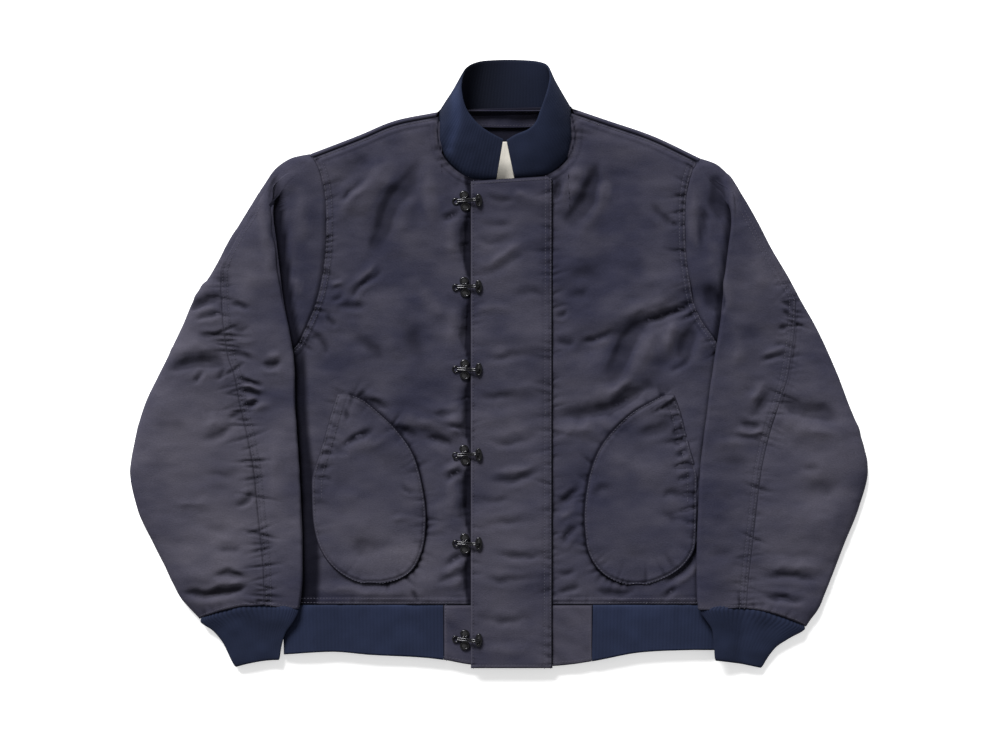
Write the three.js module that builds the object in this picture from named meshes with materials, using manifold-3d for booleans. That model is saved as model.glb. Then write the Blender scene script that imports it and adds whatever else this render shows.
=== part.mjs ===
// A navy deck jacket laid flat on its back, its hooks done up and its sleeves down its sides.
// Millimetres. X runs to the wearer's left, Y up to the collar, Z off the surface it lies on.
import * as THREE from "three";
import { mergeVertices } from "three/addons/utils/BufferGeometryUtils.js";
import Module from "manifold-3d";

// Cloth and knit
const clothWall = 2.4;
const knitWall = 3;
const seamGap = 0.3;
const layClear = 0.5;

// From the middle of the fronts' drawing to the middle of the whole jacket's box
const frameShift = { x: 1.15, y: 0.2 };

const overlayClear = 1.6;

// Body
const hemSeamY = -276;
const midHeight = 8.5;
const sideReach = 36;
const shoulderReach = 24;
const underReach = 14;
const centreX = 5.75;
const bodySides = [
  { y: -350, right: -249, left: 254 },
  { y: -276, right: -251, left: 257 },
  { y: -205, right: -253, left: 260 },
  { y: -130, right: -254, left: 261 },
  { y: -50, right: -250, left: 260 },
  { y: 11, right: -246, left: 257.6 },
];
const bodyHeights = [
  { y: -350, height: 13 },
  { y: -300, height: 14.5 },
  { y: -272, height: 16 },
  { y: -160, height: 17.5 },
  { y: 60, height: 18 },
  { y: 200, height: 17.5 },
  { y: 300, height: 17 },
];
const shoulderFolds = {
  right: [
    { x: -72, y: 292 },
    { x: -123, y: 281.5 },
    { x: -163, y: 265 },
    { x: -219, y: 243.5 },
  ],
  left: [
    { x: 84, y: 296 },
    { x: 122, y: 283 },
    { x: 176, y: 264.5 },
    { x: 231, y: 238.5 },
  ],
};
const shoulderSeamDrop = 6;
const necklines = {
  right: [
    { x: -70.8, y: 286.1 },
    { x: -71.5, y: 262 },
    { x: -65.5, y: 242 },
    { x: -52, y: 226 },
    { x: -35, y: 216 },
    { x: -16, y: 213 },
    { x: 4.5, y: 212.5 },
  ],
  left: [
    { x: 82, y: 290.3 },
    { x: 86, y: 264 },
    { x: 81, y: 243 },
    { x: 68, y: 227.5 },
    { x: 50, y: 218 },
    { x: 28, y: 214.5 },
    { x: 7, y: 212.5 },
  ],
};
const backNeckY = 294;

// Folds of the body and the sleeves, each a soft ridge or trough from one point to another
const bodyFolds = [
  { fromX: 222, fromY: 70, toX: 100, toY: 18, width: 13, rise: -3 },
  { fromX: 205, fromY: 95, toX: 95, toY: 45, width: 16, rise: 2.6 },
  { fromX: 222, fromY: 40, toX: 185, toY: -12, width: 12, rise: -2.4 },
  { fromX: 118, fromY: 205, toX: 128, toY: 118, width: 14, rise: -3 },
  { fromX: 95, fromY: 200, toX: 92, toY: 120, width: 13, rise: 2.2 },
  { fromX: 70, fromY: -62, toX: 112, toY: -52, width: 12, rise: -2.2 },
  { fromX: 72, fromY: -160, toX: 100, toY: -128, width: 10, rise: -1.8 },
  { fromX: -195, fromY: 160, toX: -120, toY: 30, width: 18, rise: 2.2 },
  { fromX: -165, fromY: 175, toX: -85, toY: 70, width: 16, rise: -1.8 },
  { fromX: -118, fromY: 205, toX: -90, toY: 60, width: 14, rise: 2 },
  { fromX: -112, fromY: -78, toX: -52, toY: -94, width: 12, rise: -2.2 },
  { fromX: -80, fromY: -55, toX: -38, toY: -70, width: 11, rise: 2 },
  { fromX: -150, fromY: -262, toX: -50, toY: -245, width: 10, rise: 1.6 },
];
const sleeveFolds = {
  right: [
    { fromX: -348, fromY: 72, toX: -308, toY: 76, width: 9, rise: -2.4 },
    { fromX: -355, fromY: 50, toX: -285, toY: 58, width: 11, rise: 1.8 },
    { fromX: -372, fromY: -12, toX: -300, toY: 12, width: 13, rise: -2 },
    { fromX: -352, fromY: -264, toX: -300, toY: -256, width: 8, rise: -2.6 },
    { fromX: -360, fromY: -247, toX: -285, toY: -243, width: 9, rise: 1.6 },
    { fromX: -330, fromY: -60, toX: -280, toY: -35, width: 12, rise: -1.6 },
  ],
  left: [
    { fromX: 262, fromY: 28, toX: 330, toY: 30, width: 12, rise: -1.8 },
    { fromX: 300, fromY: -60, toX: 395, toY: -84, width: 14, rise: 2 },
    { fromX: 310, fromY: -85, toX: 400, toY: -88, width: 12, rise: -1.8 },
    { fromX: 296, fromY: -246, toX: 372, toY: -244, width: 8, rise: -2.4 },
    { fromX: 300, fromY: -268, toX: 360, toY: -268, width: 8, rise: -1.8 },
    { fromX: 240, fromY: -250, toX: 285, toY: -215, width: 12, rise: 1.4 },
  ],
};

// Sleeves: a row for each section, from the shoulder tip to the cuff. arm is the armhole seam,
// and below the armpit the underarm seam. tuck is the hidden fold, lap the fold that lies over
// the body, seam the long seam between the two panels, rim the outer fold, and height that of
// the upper layer at the lap.
const armpitRow = 10;
const firstLapRow = 3;
const sleeveSections = {
  right: [
    { armX: -216.8, armY: 237.9, tuck: -217.2, lap: -217.8, seam: -218.6, rimX: -219.4, rimY: 243.4, height: 17.5 },
    { armX: -212, armY: 230.5, tuck: -218, lap: -224, seam: -234, rimX: -238, rimY: 239.7, height: 17.5 },
    { armX: -207, armY: 217, tuck: -226, lap: -238, seam: -252.5, rimX: -258, rimY: 227.5, height: 18 },
    { armX: -203.5, armY: 200, tuck: -258, lap: -260, seam: -268.5, rimX: -275, rimY: 203.5, height: 21 },
    { armX: -201, armY: 175, tuck: -272, lap: -260.5, seam: -286, rimX: -293, rimY: 175, height: 23.5 },
    { armX: -201.5, armY: 140, tuck: -275, lap: -256.5, seam: -307, rimX: -314, rimY: 140, height: 24.5 },
    { armX: -205, armY: 105, tuck: -275, lap: -252.5, seam: -322, rimX: -333.5, rimY: 105, height: 25 },
    { armX: -212, armY: 74, tuck: -272, lap: -248.5, seam: -320.5, rimX: -354, rimY: 74, height: 25 },
    { armX: -223, armY: 46, tuck: -265, lap: -243, seam: -318, rimX: -366, rimY: 46, height: 25 },
    { armX: -234.5, armY: 23, tuck: -255, lap: -239, seam: -315, rimX: -377, rimY: 23, height: 25.5 },
    { armX: -246, armY: 11, tuck: 0, lap: -237, seam: -313, rimX: -384, rimY: 8, height: 25.5 },
    { armX: -247.5, armY: -14, tuck: 0, lap: -235.5, seam: -305, rimX: -395, rimY: -14, height: 25.5 },
    { armX: -248, armY: -46, tuck: 0, lap: -235, seam: -299, rimX: -410, rimY: -46, height: 25.5 },
    { armX: -248, armY: -84, tuck: 0, lap: -232.5, seam: -290, rimX: -420.8, rimY: -84, height: 25.5 },
    { armX: -247, armY: -124, tuck: 0, lap: -230, seam: -282.5, rimX: -426.8, rimY: -124, height: 25.5 },
    { armX: -245, armY: -165, tuck: 0, lap: -228, seam: -278.5, rimX: -418.5, rimY: -166, height: 25.5 },
    { armX: -243, armY: -205, tuck: 0, lap: -226.5, seam: -274.5, rimX: -400, rimY: -206, height: 25.5 },
    { armX: -243, armY: -240, tuck: 0, lap: -226.5, seam: -271.5, rimX: -381, rimY: -243, height: 25 },
    { armX: -243, armY: -264, tuck: 0, lap: -228, seam: -271, rimX: -367, rimY: -270, height: 24.5 },
    { armX: -244, armY: -280, tuck: 0, lap: -230.5, seam: -271.5, rimX: -346.5, rimY: -293, height: 23.5 },
  ],
  left: [
    { armX: 228.4, armY: 233.1, tuck: 229, lap: 229.7, seam: 230.5, rimX: 231.3, rimY: 238.4, height: 17.5 },
    { armX: 222.5, armY: 223, tuck: 228, lap: 233, seam: 243, rimX: 247, rimY: 233, height: 17.5 },
    { armX: 218, armY: 208, tuck: 235, lap: 245, seam: 257.5, rimX: 263, rimY: 220, height: 18 },
    { armX: 215, armY: 190, tuck: 262, lap: 265, seam: 272.5, rimX: 279, rimY: 197, height: 21 },
    { armX: 214, armY: 165, tuck: 277, lap: 265.5, seam: 290, rimX: 297, rimY: 166, height: 23.5 },
    { armX: 215, armY: 133, tuck: 281, lap: 262, seam: 306, rimX: 313, rimY: 135, height: 24.5 },
    { armX: 218.5, armY: 102, tuck: 282, lap: 258, seam: 325.5, rimX: 332.5, rimY: 102, height: 25 },
    { armX: 224, armY: 73, tuck: 281, lap: 255.5, seam: 341, rimX: 348, rimY: 73, height: 25 },
    { armX: 233.5, armY: 50.5, tuck: 277, lap: 253, seam: 340, rimX: 361, rimY: 50.5, height: 25 },
    { armX: 247, armY: 31, tuck: 268, lap: 250, seam: 338, rimX: 371.5, rimY: 30, height: 25.5 },
    { armX: 257.6, armY: 11, tuck: 0, lap: 246.5, seam: 335, rimX: 381, rimY: 9, height: 25.5 },
    { armX: 258, armY: -12, tuck: 0, lap: 243.5, seam: 331.5, rimX: 390, rimY: -12, height: 25.5 },
    { armX: 256, armY: -44, tuck: 0, lap: 239, seam: 321.5, rimX: 402, rimY: -44, height: 25.5 },
    { armX: 252, armY: -82, tuck: 0, lap: 234, seam: 309.5, rimX: 416.5, rimY: -82, height: 25.5 },
    { armX: 249, armY: -122, tuck: 0, lap: 229.5, seam: 300.5, rimX: 424.5, rimY: -122, height: 25.5 },
    { armX: 247, armY: -165, tuck: 0, lap: 227.5, seam: 295, rimX: 414, rimY: -165, height: 25.5 },
    { armX: 246, armY: -205, tuck: 0, lap: 226, seam: 290.5, rimX: 397.5, rimY: -206, height: 25.5 },
    { armX: 246, armY: -242, tuck: 0, lap: 225.5, seam: 286.5, rimX: 382.5, rimY: -245, height: 25 },
    { armX: 246, armY: -264, tuck: 0, lap: 226, seam: 284.5, rimX: 369, rimY: -277, height: 24.5 },
    { armX: 246, armY: -281, tuck: 0, lap: 228.5, seam: 283.5, rimX: 353, rimY: -302, height: 23.5 },
  ],
};
const sleeveEndArch = 9;
const tipClear = 0.6;
const armGap = 0.3;
const outerHeight = 19;
const crownRun = 70;
const bodyClear = 1;
const climbOut = 26;
const climbIn = 14;

// Cuffs: a row for each ring, from the sleeve's end down. thick is the height of its outer half.
const cuffSections = {
  right: [
    { innerX: -231.5, innerY: -282.4, outerX: -345.5, outerY: -295.6, arch: 7.8, thick: 18 },
    { innerX: -237, innerY: -294, outerX: -331, outerY: -307, arch: 6, thick: 16 },
    { innerX: -247, innerY: -309, outerX: -319, outerY: -322, arch: 2, thick: 14 },
    { innerX: -252, innerY: -326, outerX: -312, outerY: -337, arch: 1, thick: 13.5 },
    { innerX: -254, innerY: -340, outerX: -306, outerY: -349, arch: 2, thick: 12.5 },
  ],
  left: [
    { innerX: 229.5, innerY: -282.8, outerX: 352, outerY: -304, arch: 8.8, thick: 18 },
    { innerX: 236.5, innerY: -293, outerX: 334, outerY: -315, arch: 6, thick: 16 },
    { innerX: 244, innerY: -306, outerX: 318, outerY: -326, arch: 2, thick: 14 },
    { innerX: 246, innerY: -322, outerX: 309, outerY: -338, arch: 1, thick: 13.5 },
    { innerX: 247, innerY: -340, outerX: 302, outerY: -350, arch: 1, thick: 12.5 },
  ],
};
const cuffOverBody = 8;
const cuffRibs = 34;
const ribRise = 0.5;

// Waistband: its lower edge, and where the knit gives way to the cloth tabs
const hemEdge = [
  { x: -260, y: -334.5 },
  { x: -195, y: -330.5 },
  { x: -150, y: -334 },
  { x: -92, y: -337 },
  { x: -64, y: -340 },
  { x: -30, y: -345.5 },
  { x: 60, y: -347 },
  { x: 107, y: -341.5 },
  { x: 160, y: -331.5 },
  { x: 220, y: -328.5 },
  { x: 265, y: -329 },
];
const tabRightX = -65.5;
const tabLeftX = 107;

// Placket
const placketLeft = 60.5;
const placketRight = -33.5;
const placketTop = { right: 211.5, left: 217.5, chamfer: 5 };
const placketBottom = -349;
const placketWall = 3;
const placketFolds = [
  { fromX: -28, fromY: 196, toX: 55, toY: 186, width: 7, rise: 1.3 },
  { fromX: -20, fromY: 115, toX: 50, toY: 150, width: 9, rise: 1.3 },
  { fromX: -20, fromY: 30, toX: 56, toY: 34, width: 8, rise: 1.1 },
  { fromX: -15, fromY: -62, toX: 52, toY: -48, width: 8, rise: 1.3 },
  { fromX: -25, fromY: -175, toX: 54, toY: -165, width: 9, rise: 1.4 },
  { fromX: -25, fromY: -250, toX: 50, toY: -246, width: 8, rise: 1.2 },
];

// Pockets: an oval patch with its outer side cut straight for the hand
const pocketWall = 1.8;
const pockets = {
  right: [
    { y: -33, outer: -187, inner: -173 },
    { y: -40, outer: -189.5, inner: -157 },
    { y: -56, outer: -194.5, inner: -137 },
    { y: -76, outer: -200, inner: -117 },
    { y: -103, outer: -208, inner: -99 },
    { y: -135, outer: -216.5, inner: -89.5 },
    { y: -172, outer: -215.5, inner: -84.5 },
    { y: -200, outer: -211, inner: -86 },
    { y: -222, outer: -201, inner: -92 },
    { y: -238, outer: -186, inner: -102 },
    { y: -247, outer: -171, inner: -117 },
    { y: -251.5, outer: -158, inner: -136 },
  ],
  left: [
    { y: -34, outer: 200, inner: 188 },
    { y: -42, outer: 203.5, inner: 173 },
    { y: -54, outer: 207.5, inner: 152 },
    { y: -72, outer: 212.5, inner: 132 },
    { y: -99, outer: 219.5, inner: 112 },
    { y: -131, outer: 227, inner: 101 },
    { y: -172, outer: 226.5, inner: 96 },
    { y: -206, outer: 225, inner: 98.5 },
    { y: -228, outer: 214, inner: 107 },
    { y: -242, outer: 196, inner: 120 },
    { y: -249, outer: 180, inner: 133 },
    { y: -253, outer: 167, inner: 147 },
  ],
};

// Collar: a row for each place round the neck, from the wearer's right front to the left front.
// seam is where it is sewn on and edge its free top edge.
const collarRows = [
  { seamX: -4, seamY: 214.6, seamZ: 19.4, edgeX: 3.5, edgeY: 259, edgeZ: 27, bulge: 2 },
  { seamX: -17, seamY: 215, seamZ: 19.4, edgeX: -7, edgeY: 264, edgeZ: 30, bulge: 3 },
  { seamX: -33.5, seamY: 218, seamZ: 19.4, edgeX: -19, edgeY: 271, edgeZ: 34, bulge: 4 },
  { seamX: -49.5, seamY: 228, seamZ: 19.2, edgeX: -30, edgeY: 281, edgeZ: 37, bulge: 5 },
  { seamX: -62.2, seamY: 243.5, seamZ: 19, edgeX: -38, edgeY: 292, edgeZ: 39, bulge: 5 },
  { seamX: -68, seamY: 263, seamZ: 18.5, edgeX: -42.5, edgeY: 305, edgeZ: 40, bulge: 5 },
  { seamX: -68, seamY: 281, seamZ: 16.5, edgeX: -44.5, edgeY: 319, edgeZ: 38, bulge: 4 },
  { seamX: -67.5, seamY: 294.4, seamZ: 11, edgeX: -42, edgeY: 331, edgeZ: 32, bulge: 3 },
  { seamX: -50, seamY: 295, seamZ: 4, edgeX: -33.5, edgeY: 342, edgeZ: 22, bulge: 1 },
  { seamX: -25, seamY: 294.6, seamZ: 2.8, edgeX: -16, edgeY: 348, edgeZ: 11, bulge: 0 },
  { seamX: 6, seamY: 295.2, seamZ: 2.8, edgeX: 10, edgeY: 349.5, edgeZ: 7, bulge: 0 },
  { seamX: 37, seamY: 296.2, seamZ: 2.8, edgeX: 36, edgeY: 348, edgeZ: 11, bulge: 0 },
  { seamX: 63, seamY: 298, seamZ: 4, edgeX: 53.5, edgeY: 342, edgeZ: 22, bulge: 1 },
  { seamX: 79.5, seamY: 298.4, seamZ: 11, edgeX: 57, edgeY: 331, edgeZ: 32, bulge: 3 },
  { seamX: 80.5, seamY: 284.5, seamZ: 16.5, edgeX: 55, edgeY: 319, edgeZ: 38, bulge: 4 },
  { seamX: 81.2, seamY: 265, seamZ: 18.7, edgeX: 51, edgeY: 305, edgeZ: 40, bulge: 5 },
  { seamX: 77.5, seamY: 245, seamZ: 19, edgeX: 46, edgeY: 291, edgeZ: 39, bulge: 5 },
  { seamX: 65.5, seamY: 230, seamZ: 19.2, edgeX: 41, edgeY: 278, edgeZ: 37, bulge: 5 },
  { seamX: 48, seamY: 220.4, seamZ: 19.4, edgeX: 32, edgeY: 269.5, edgeZ: 34, bulge: 4 },
  { seamX: 29, seamY: 217.2, seamZ: 19.4, edgeX: 18, edgeY: 264, edgeZ: 30, bulge: 3 },
  { seamX: 16, seamY: 216.6, seamZ: 19.4, edgeX: 7.5, edgeY: 258, edgeZ: 27, bulge: 2 },
];

// Inside of the back neck
const facing = { fromX: -60, toX: 74, topY: 292.5, lowY: 278, sag: 4, wall: 1.2 };
const label = { fromX: -32, toX: 42, lowY: 208, topY: 258, wall: 0.6 };

// Hooks and eyes, from the top down, each tilted a little its own way
const clasps = [
  { y: 189, tilt: 3 },
  { y: 90, tilt: 2 },
  { y: -5, tilt: -3 },
  { y: -103, tilt: 4 },
  { y: -205, tilt: -2 },
  { y: -316, tilt: -4 },
];
const wire = 1;
const wireSides = 4;
const hookX = -40;
const eyeX = -24.5;
const eyeSize = { across: 5.6, along: 12.5 };
const hookLoops = [
  { x: -1, y: 7.2, across: 9, along: 7 },
  { x: 0, y: -7.4, across: 10, along: 9 },
  { x: -11, y: -0.4, across: 6.5, along: 6.5 },
];
const shankRadius = 1.4;
const shank = [
  { x: -8, y: -0.2, z: 0.9 },
  { x: -2, y: -0.3, z: 2 },
  { x: 4, y: -0.3, z: 4.4 },
  { x: 10, y: 0, z: 7.4 },
  { x: 14.2, y: 0, z: 7.6 },
  { x: 16.2, y: 0, z: 5 },
];
const hookBridge = [
  { x: -1, y: 4.4, z: 0 },
  { x: -1.6, y: 0, z: 0.7 },
  { x: -1, y: -3.8, z: 0 },
];

const colours = { cloth: 0x45454f, knit: 0x1f2942, metal: 0x1c1c20, label: 0xb9b2a4 };

// One column of a table as a smooth function of another, whose rows are in order
function column(rows, from, to) {
  const slope = (i) => {
    const a = rows[Math.max(i - 1, 0)];
    const b = rows[Math.min(i + 1, rows.length - 1)];
    return (b[to] - a[to]) / (b[from] - a[from]);
  };
  return (at) => {
    let i = 0;
    while (i < rows.length - 2 && (at - rows[i + 1][from]) * (rows[1][from] - rows[0][from]) > 0) i += 1;
    const span = rows[i + 1][from] - rows[i][from];
    const t = THREE.MathUtils.clamp((at - rows[i][from]) / span, 0, 1);
    const start = rows[i][to] * (2 * t ** 3 - 3 * t ** 2 + 1);
    const end = rows[i + 1][to] * (3 * t ** 2 - 2 * t ** 3);
    const bend = slope(i) * (t ** 3 - 2 * t ** 2 + t) + slope(i + 1) * (t ** 3 - t ** 2);
    return start + end + bend * span;
  };
}

const point = (x, y, z = 0) => new THREE.Vector3(x, y, z);
const smooth = (share) => THREE.MathUtils.smoothstep(share, 0, 1);
const { lerp, clamp } = THREE.MathUtils;
const spaced = (count) => Array.from({ length: count + 1 }, (_, i) => i / count);
const planCurve = (rows) =>
  new THREE.CatmullRomCurve3(rows.map((row) => point(row.x, row.y)), false, "centripetal");

const outward = { right: -1, left: 1 };
const sides = Object.keys(outward);
const armpitY = bodySides.at(-1).y;
const sideX = { right: column(bodySides, "y", "right"), left: column(bodySides, "y", "left") };
const bodyHeight = column(bodyHeights, "y", "height");
const hemEdgeY = column(hemEdge, "x", "y");
const foldY = { right: column(shoulderFolds.right, "x", "y"), left: column(shoulderFolds.left, "x", "y") };
const foldLine = {
  right: planCurve(shoulderFolds.right).getSpacedPoints(16),
  left: planCurve(shoulderFolds.left).getSpacedPoints(16),
};

function distanceTo(line, x, y) {
  let best = Infinity;
  for (let i = 1; i < line.length; i += 1) {
    const [a, b] = [line[i - 1], line[i]];
    const [dx, dy] = [b.x - a.x, b.y - a.y];
    const t = clamp(((x - a.x) * dx + (y - a.y) * dy) / (dx * dx + dy * dy), 0, 1);
    best = Math.min(best, Math.hypot(x - a.x - dx * t, y - a.y - dy * t));
  }
  return best;
}

// How far a rounded edge has risen, from 0 at the edge to 1 at its reach
function dome(distance, reach) {
  const share = clamp(distance / reach, 0, 1);
  return Math.sqrt(1 - (1 - share) ** 2);
}

// The sum of the folds at a place, each fading out to both sides of its line
function relief(folds, x, y) {
  return folds.reduce((sum, fold) => {
    const [dx, dy] = [fold.toX - fold.fromX, fold.toY - fold.fromY];
    const along = ((x - fold.fromX) * dx + (y - fold.fromY) * dy) / (dx * dx + dy * dy);
    const t = clamp(along, 0, 1);
    const off = Math.hypot(x - fold.fromX - dx * t, y - fold.fromY - dy * t) / fold.width;
    return sum + fold.rise * Math.exp(-off * off);
  }, 0);
}

const insideBy = (side, x, y) => (sideX[side](y) - x) * outward[side];

// Distance in from the body's side, which ends at the armpit
function fromSide(side, x, y) {
  if (y <= armpitY) return Math.max(0, insideBy(side, x, y));
  return Math.hypot(insideBy(side, x, armpitY), y - armpitY);
}

function fromShoulder(side, x, y) {
  return y > foldY[side](x) ? 0 : distanceTo(foldLine[side], x, y);
}

function edgeShare(x, y, sideWidth, shoulderWidth) {
  return sides.reduce(
    (share, side) =>
      share * dome(fromSide(side, x, y), sideWidth) * dome(fromShoulder(side, x, y), shoulderWidth),
    1,
  );
}

function frontZ(x, y) {
  const share = edgeShare(x, y, sideReach, shoulderReach);
  return midHeight + (bodyHeight(y) - midHeight + relief(bodyFolds, x, y)) * share;
}

const underMid = midHeight - seamGap;
const backZ = (x, y) => underMid * (1 - edgeShare(x, y, underReach, underReach));

// The unit normal of a height function. up is 1 where the outside of the cloth faces up.
function slopeNormal(height, x, y, up) {
  const step = 0.002;
  const dx = (height(x + step, y) - height(x - step, y)) / (2 * step);
  const dy = (height(x, y + step) - height(x, y - step)) / (2 * step);
  return point(-dx, -dy, 1).normalize().multiplyScalar(up);
}

// A closed solid between two like grids of points, an outer and an inner face. A ring's columns
// run all the way round, and has tells which cells of the grid hold cloth.
function solidBetween(outer, inner, { ring = false, has = () => true } = {}) {
  const rows = outer.length;
  const columns = outer[0].length;
  const across = ring ? columns : columns - 1;
  const positions = [...outer.flat(), ...inner.flat()].flatMap((p) => [p.x, p.y, p.z]);
  const at = (layer, i, j) => layer * rows * columns + i * columns + (j % columns);
  const index = [];
  const quad = (a, b, c, d) => index.push(a, b, c, a, c, d);
  const rim = (i, j, nextI, nextJ) =>
    quad(at(0, nextI, nextJ), at(0, i, j), at(1, i, j), at(1, nextI, nextJ));
  const held = (i, j) => {
    const column = ring ? (j + across) % across : j;
    return i >= 0 && i < rows - 1 && column >= 0 && column < across && has(i, column);
  };
  for (let i = 0; i < rows - 1; i += 1) {
    for (let j = 0; j < across; j += 1) {
      if (!held(i, j)) continue;
      quad(at(0, i, j), at(0, i, j + 1), at(0, i + 1, j + 1), at(0, i + 1, j));
      quad(at(1, i, j), at(1, i + 1, j), at(1, i + 1, j + 1), at(1, i, j + 1));
      if (!held(i - 1, j)) rim(i, j, i, j + 1);
      if (!held(i + 1, j)) rim(i + 1, j + 1, i + 1, j);
      if (!held(i, j - 1)) rim(i + 1, j, i, j);
      if (!held(i, j + 1)) rim(i, j + 1, i + 1, j + 1);
    }
  }
  return facingOut(positions, index);
}

function facingOut(positions, index) {
  const corner = (i) => new THREE.Vector3().fromArray(positions, 3 * index[i]);
  let volume = 0;
  for (let i = 0; i < index.length; i += 3) {
    volume += corner(i).dot(corner(i + 1).cross(corner(i + 2)));
  }
  const geometry = new THREE.BufferGeometry();
  geometry.setAttribute("position", new THREE.Float32BufferAttribute(positions, 3));
  geometry.setIndex(volume < 0 ? index.reverse() : index);
  return geometry;
}

// The normals of a grid of points. turn is 1 where across times down faces out, and -1
// otherwise, and wraps tells which rows run all the way round.
function gridNormals(grid, turn, wraps = () => false) {
  const rows = grid.length;
  const columns = grid[0].length;
  return grid.map((row, i) =>
    row.map((_, j) => {
      const at = (column) =>
        wraps(i) ? (column + columns) % columns : clamp(column, 0, columns - 1);
      const across = row[at(j + 1)].clone().sub(row[at(j - 1)]);
      const down = grid[Math.min(i + 1, rows - 1)][j].clone().sub(grid[Math.max(i - 1, 0)][j]);
      return across.cross(down).normalize().multiplyScalar(turn);
    }),
  );
}

function moved(grid, normals, amount) {
  return grid.map((row, i) =>
    row.map((p, j) => p.clone().addScaledVector(normals[i][j], amount(i, j))),
  );
}

// A cloth wall whose outer face is the grid
function wall(grid, normals, thickness, options) {
  return solidBetween(grid, moved(grid, normals, () => -thickness), options);
}

// A patch between four borders, by Coons's rule. top and bottom are functions of the share
// across, and start and end are lists of points, one for each row.
function patch(borders, across) {
  const { bottom, top, start, end } = borders;
  const last = start.length - 1;
  return start.map((first, i) => {
    const t = i / last;
    return across.map((s) => {
      const ruled = bottom(s).clone().lerp(top(s), t);
      const sideways = first.clone().lerp(end[i], s);
      const corners = start[0].clone().lerp(end[0], s).lerp(start[last].clone().lerp(end[last], s), t);
      return ruled.add(sideways).sub(corners);
    });
  });
}

const along = (rows) => {
  const curve = planCurve(rows);
  return (t) => curve.getPointAt(clamp(t, 0, 1));
};

// Two curves as one, changing over at a share of the way
function joined(first, second, change) {
  return (t) => (t <= change ? first(t / change) : second((t - change) / (1 - change)));
}

// A panel's side, from the waist seam up to the armpit and round the armhole to its top
function panelSide(side, gap, flankRows) {
  const flank = spaced(flankRows).map((t) => {
    const y = lerp(hemSeamY, armpitY, t);
    return point(sideX[side](y), y);
  });
  const armhole = sleeveSections[side]
    .slice(0, armpitRow)
    .reverse()
    .map((row) => point(row.armX - outward[side] * gap, row.armY));
  return [...flank, ...armhole];
}

// A line beside the shoulder fold, a drop in from it, running from the neck to the tip
function besideFold(side, drop) {
  const fold = along(shoulderFolds[side]);
  const step = 0.01;
  return (t) => {
    const way = fold(t + step).sub(fold(t - step)).normalize();
    return fold(t).addScaledVector(point(way.y, -way.x), -outward[side] * -drop);
  };
}

const foldNormal = (side) => (t) =>
  besideFold(side, 0)(t).sub(besideFold(side, 1)(t)).normalize();

const matched = (points, from, to) =>
  points.map((_, i) => from.clone().lerp(to, i / (points.length - 1)));

// Shares of the way along the shoulder seam, from the tip, that the panels on both sides share
const seamSteps = [0, 0.0375, 0.125, 0.281, 0.5, 0.75, 1];
const seamShare = 0.58;
const frontAcross = [...seamSteps.map((s) => s * seamShare), 0.7, 0.82, 0.92, 1];
const frontFlankRows = 11;

function frontPanel(side) {
  const frontX = centreX + (outward[side] * seamGap) / 2;
  const start = panelSide(side, seamGap / 2, frontFlankRows);
  const hemFront = point(frontX, hemSeamY);
  const neckRows = necklines[side].map((row) => ({ ...row }));
  neckRows.at(-1).x = frontX;
  const seam = besideFold(side, shoulderSeamDrop);
  const top = joined((t) => seam(1 - t), along(neckRows), seamShare);
  const end = matched(start, hemFront, top(1));
  const bottom = (s) => start[0].clone().lerp(hemFront, s);
  const grid = patch({ bottom, top, start, end }, frontAcross);
  const outer = grid.map((row) => row.map((p) => point(p.x, p.y, frontZ(p.x, p.y))));
  const normals = grid.map((row, i) =>
    row.map((p, j) => {
      if (j === 0 && i <= frontFlankRows) return point(outward[side], 0, 0);
      return slopeNormal(frontZ, p.x, p.y, 1);
    }),
  );
  return wall(outer, normals, clothWall);
}

const neckShares = { right: 0.32, left: 0.68 };
const backAcross = [
  ...seamSteps.map((s) => s * neckShares.right),
  0.41,
  0.5,
  0.59,
  ...[...seamSteps].reverse().map((s) => 1 - s * (1 - neckShares.left)),
];
const backFlankRows = 6;
const flapDrops = [2.4, shoulderSeamDrop - seamGap];

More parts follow.
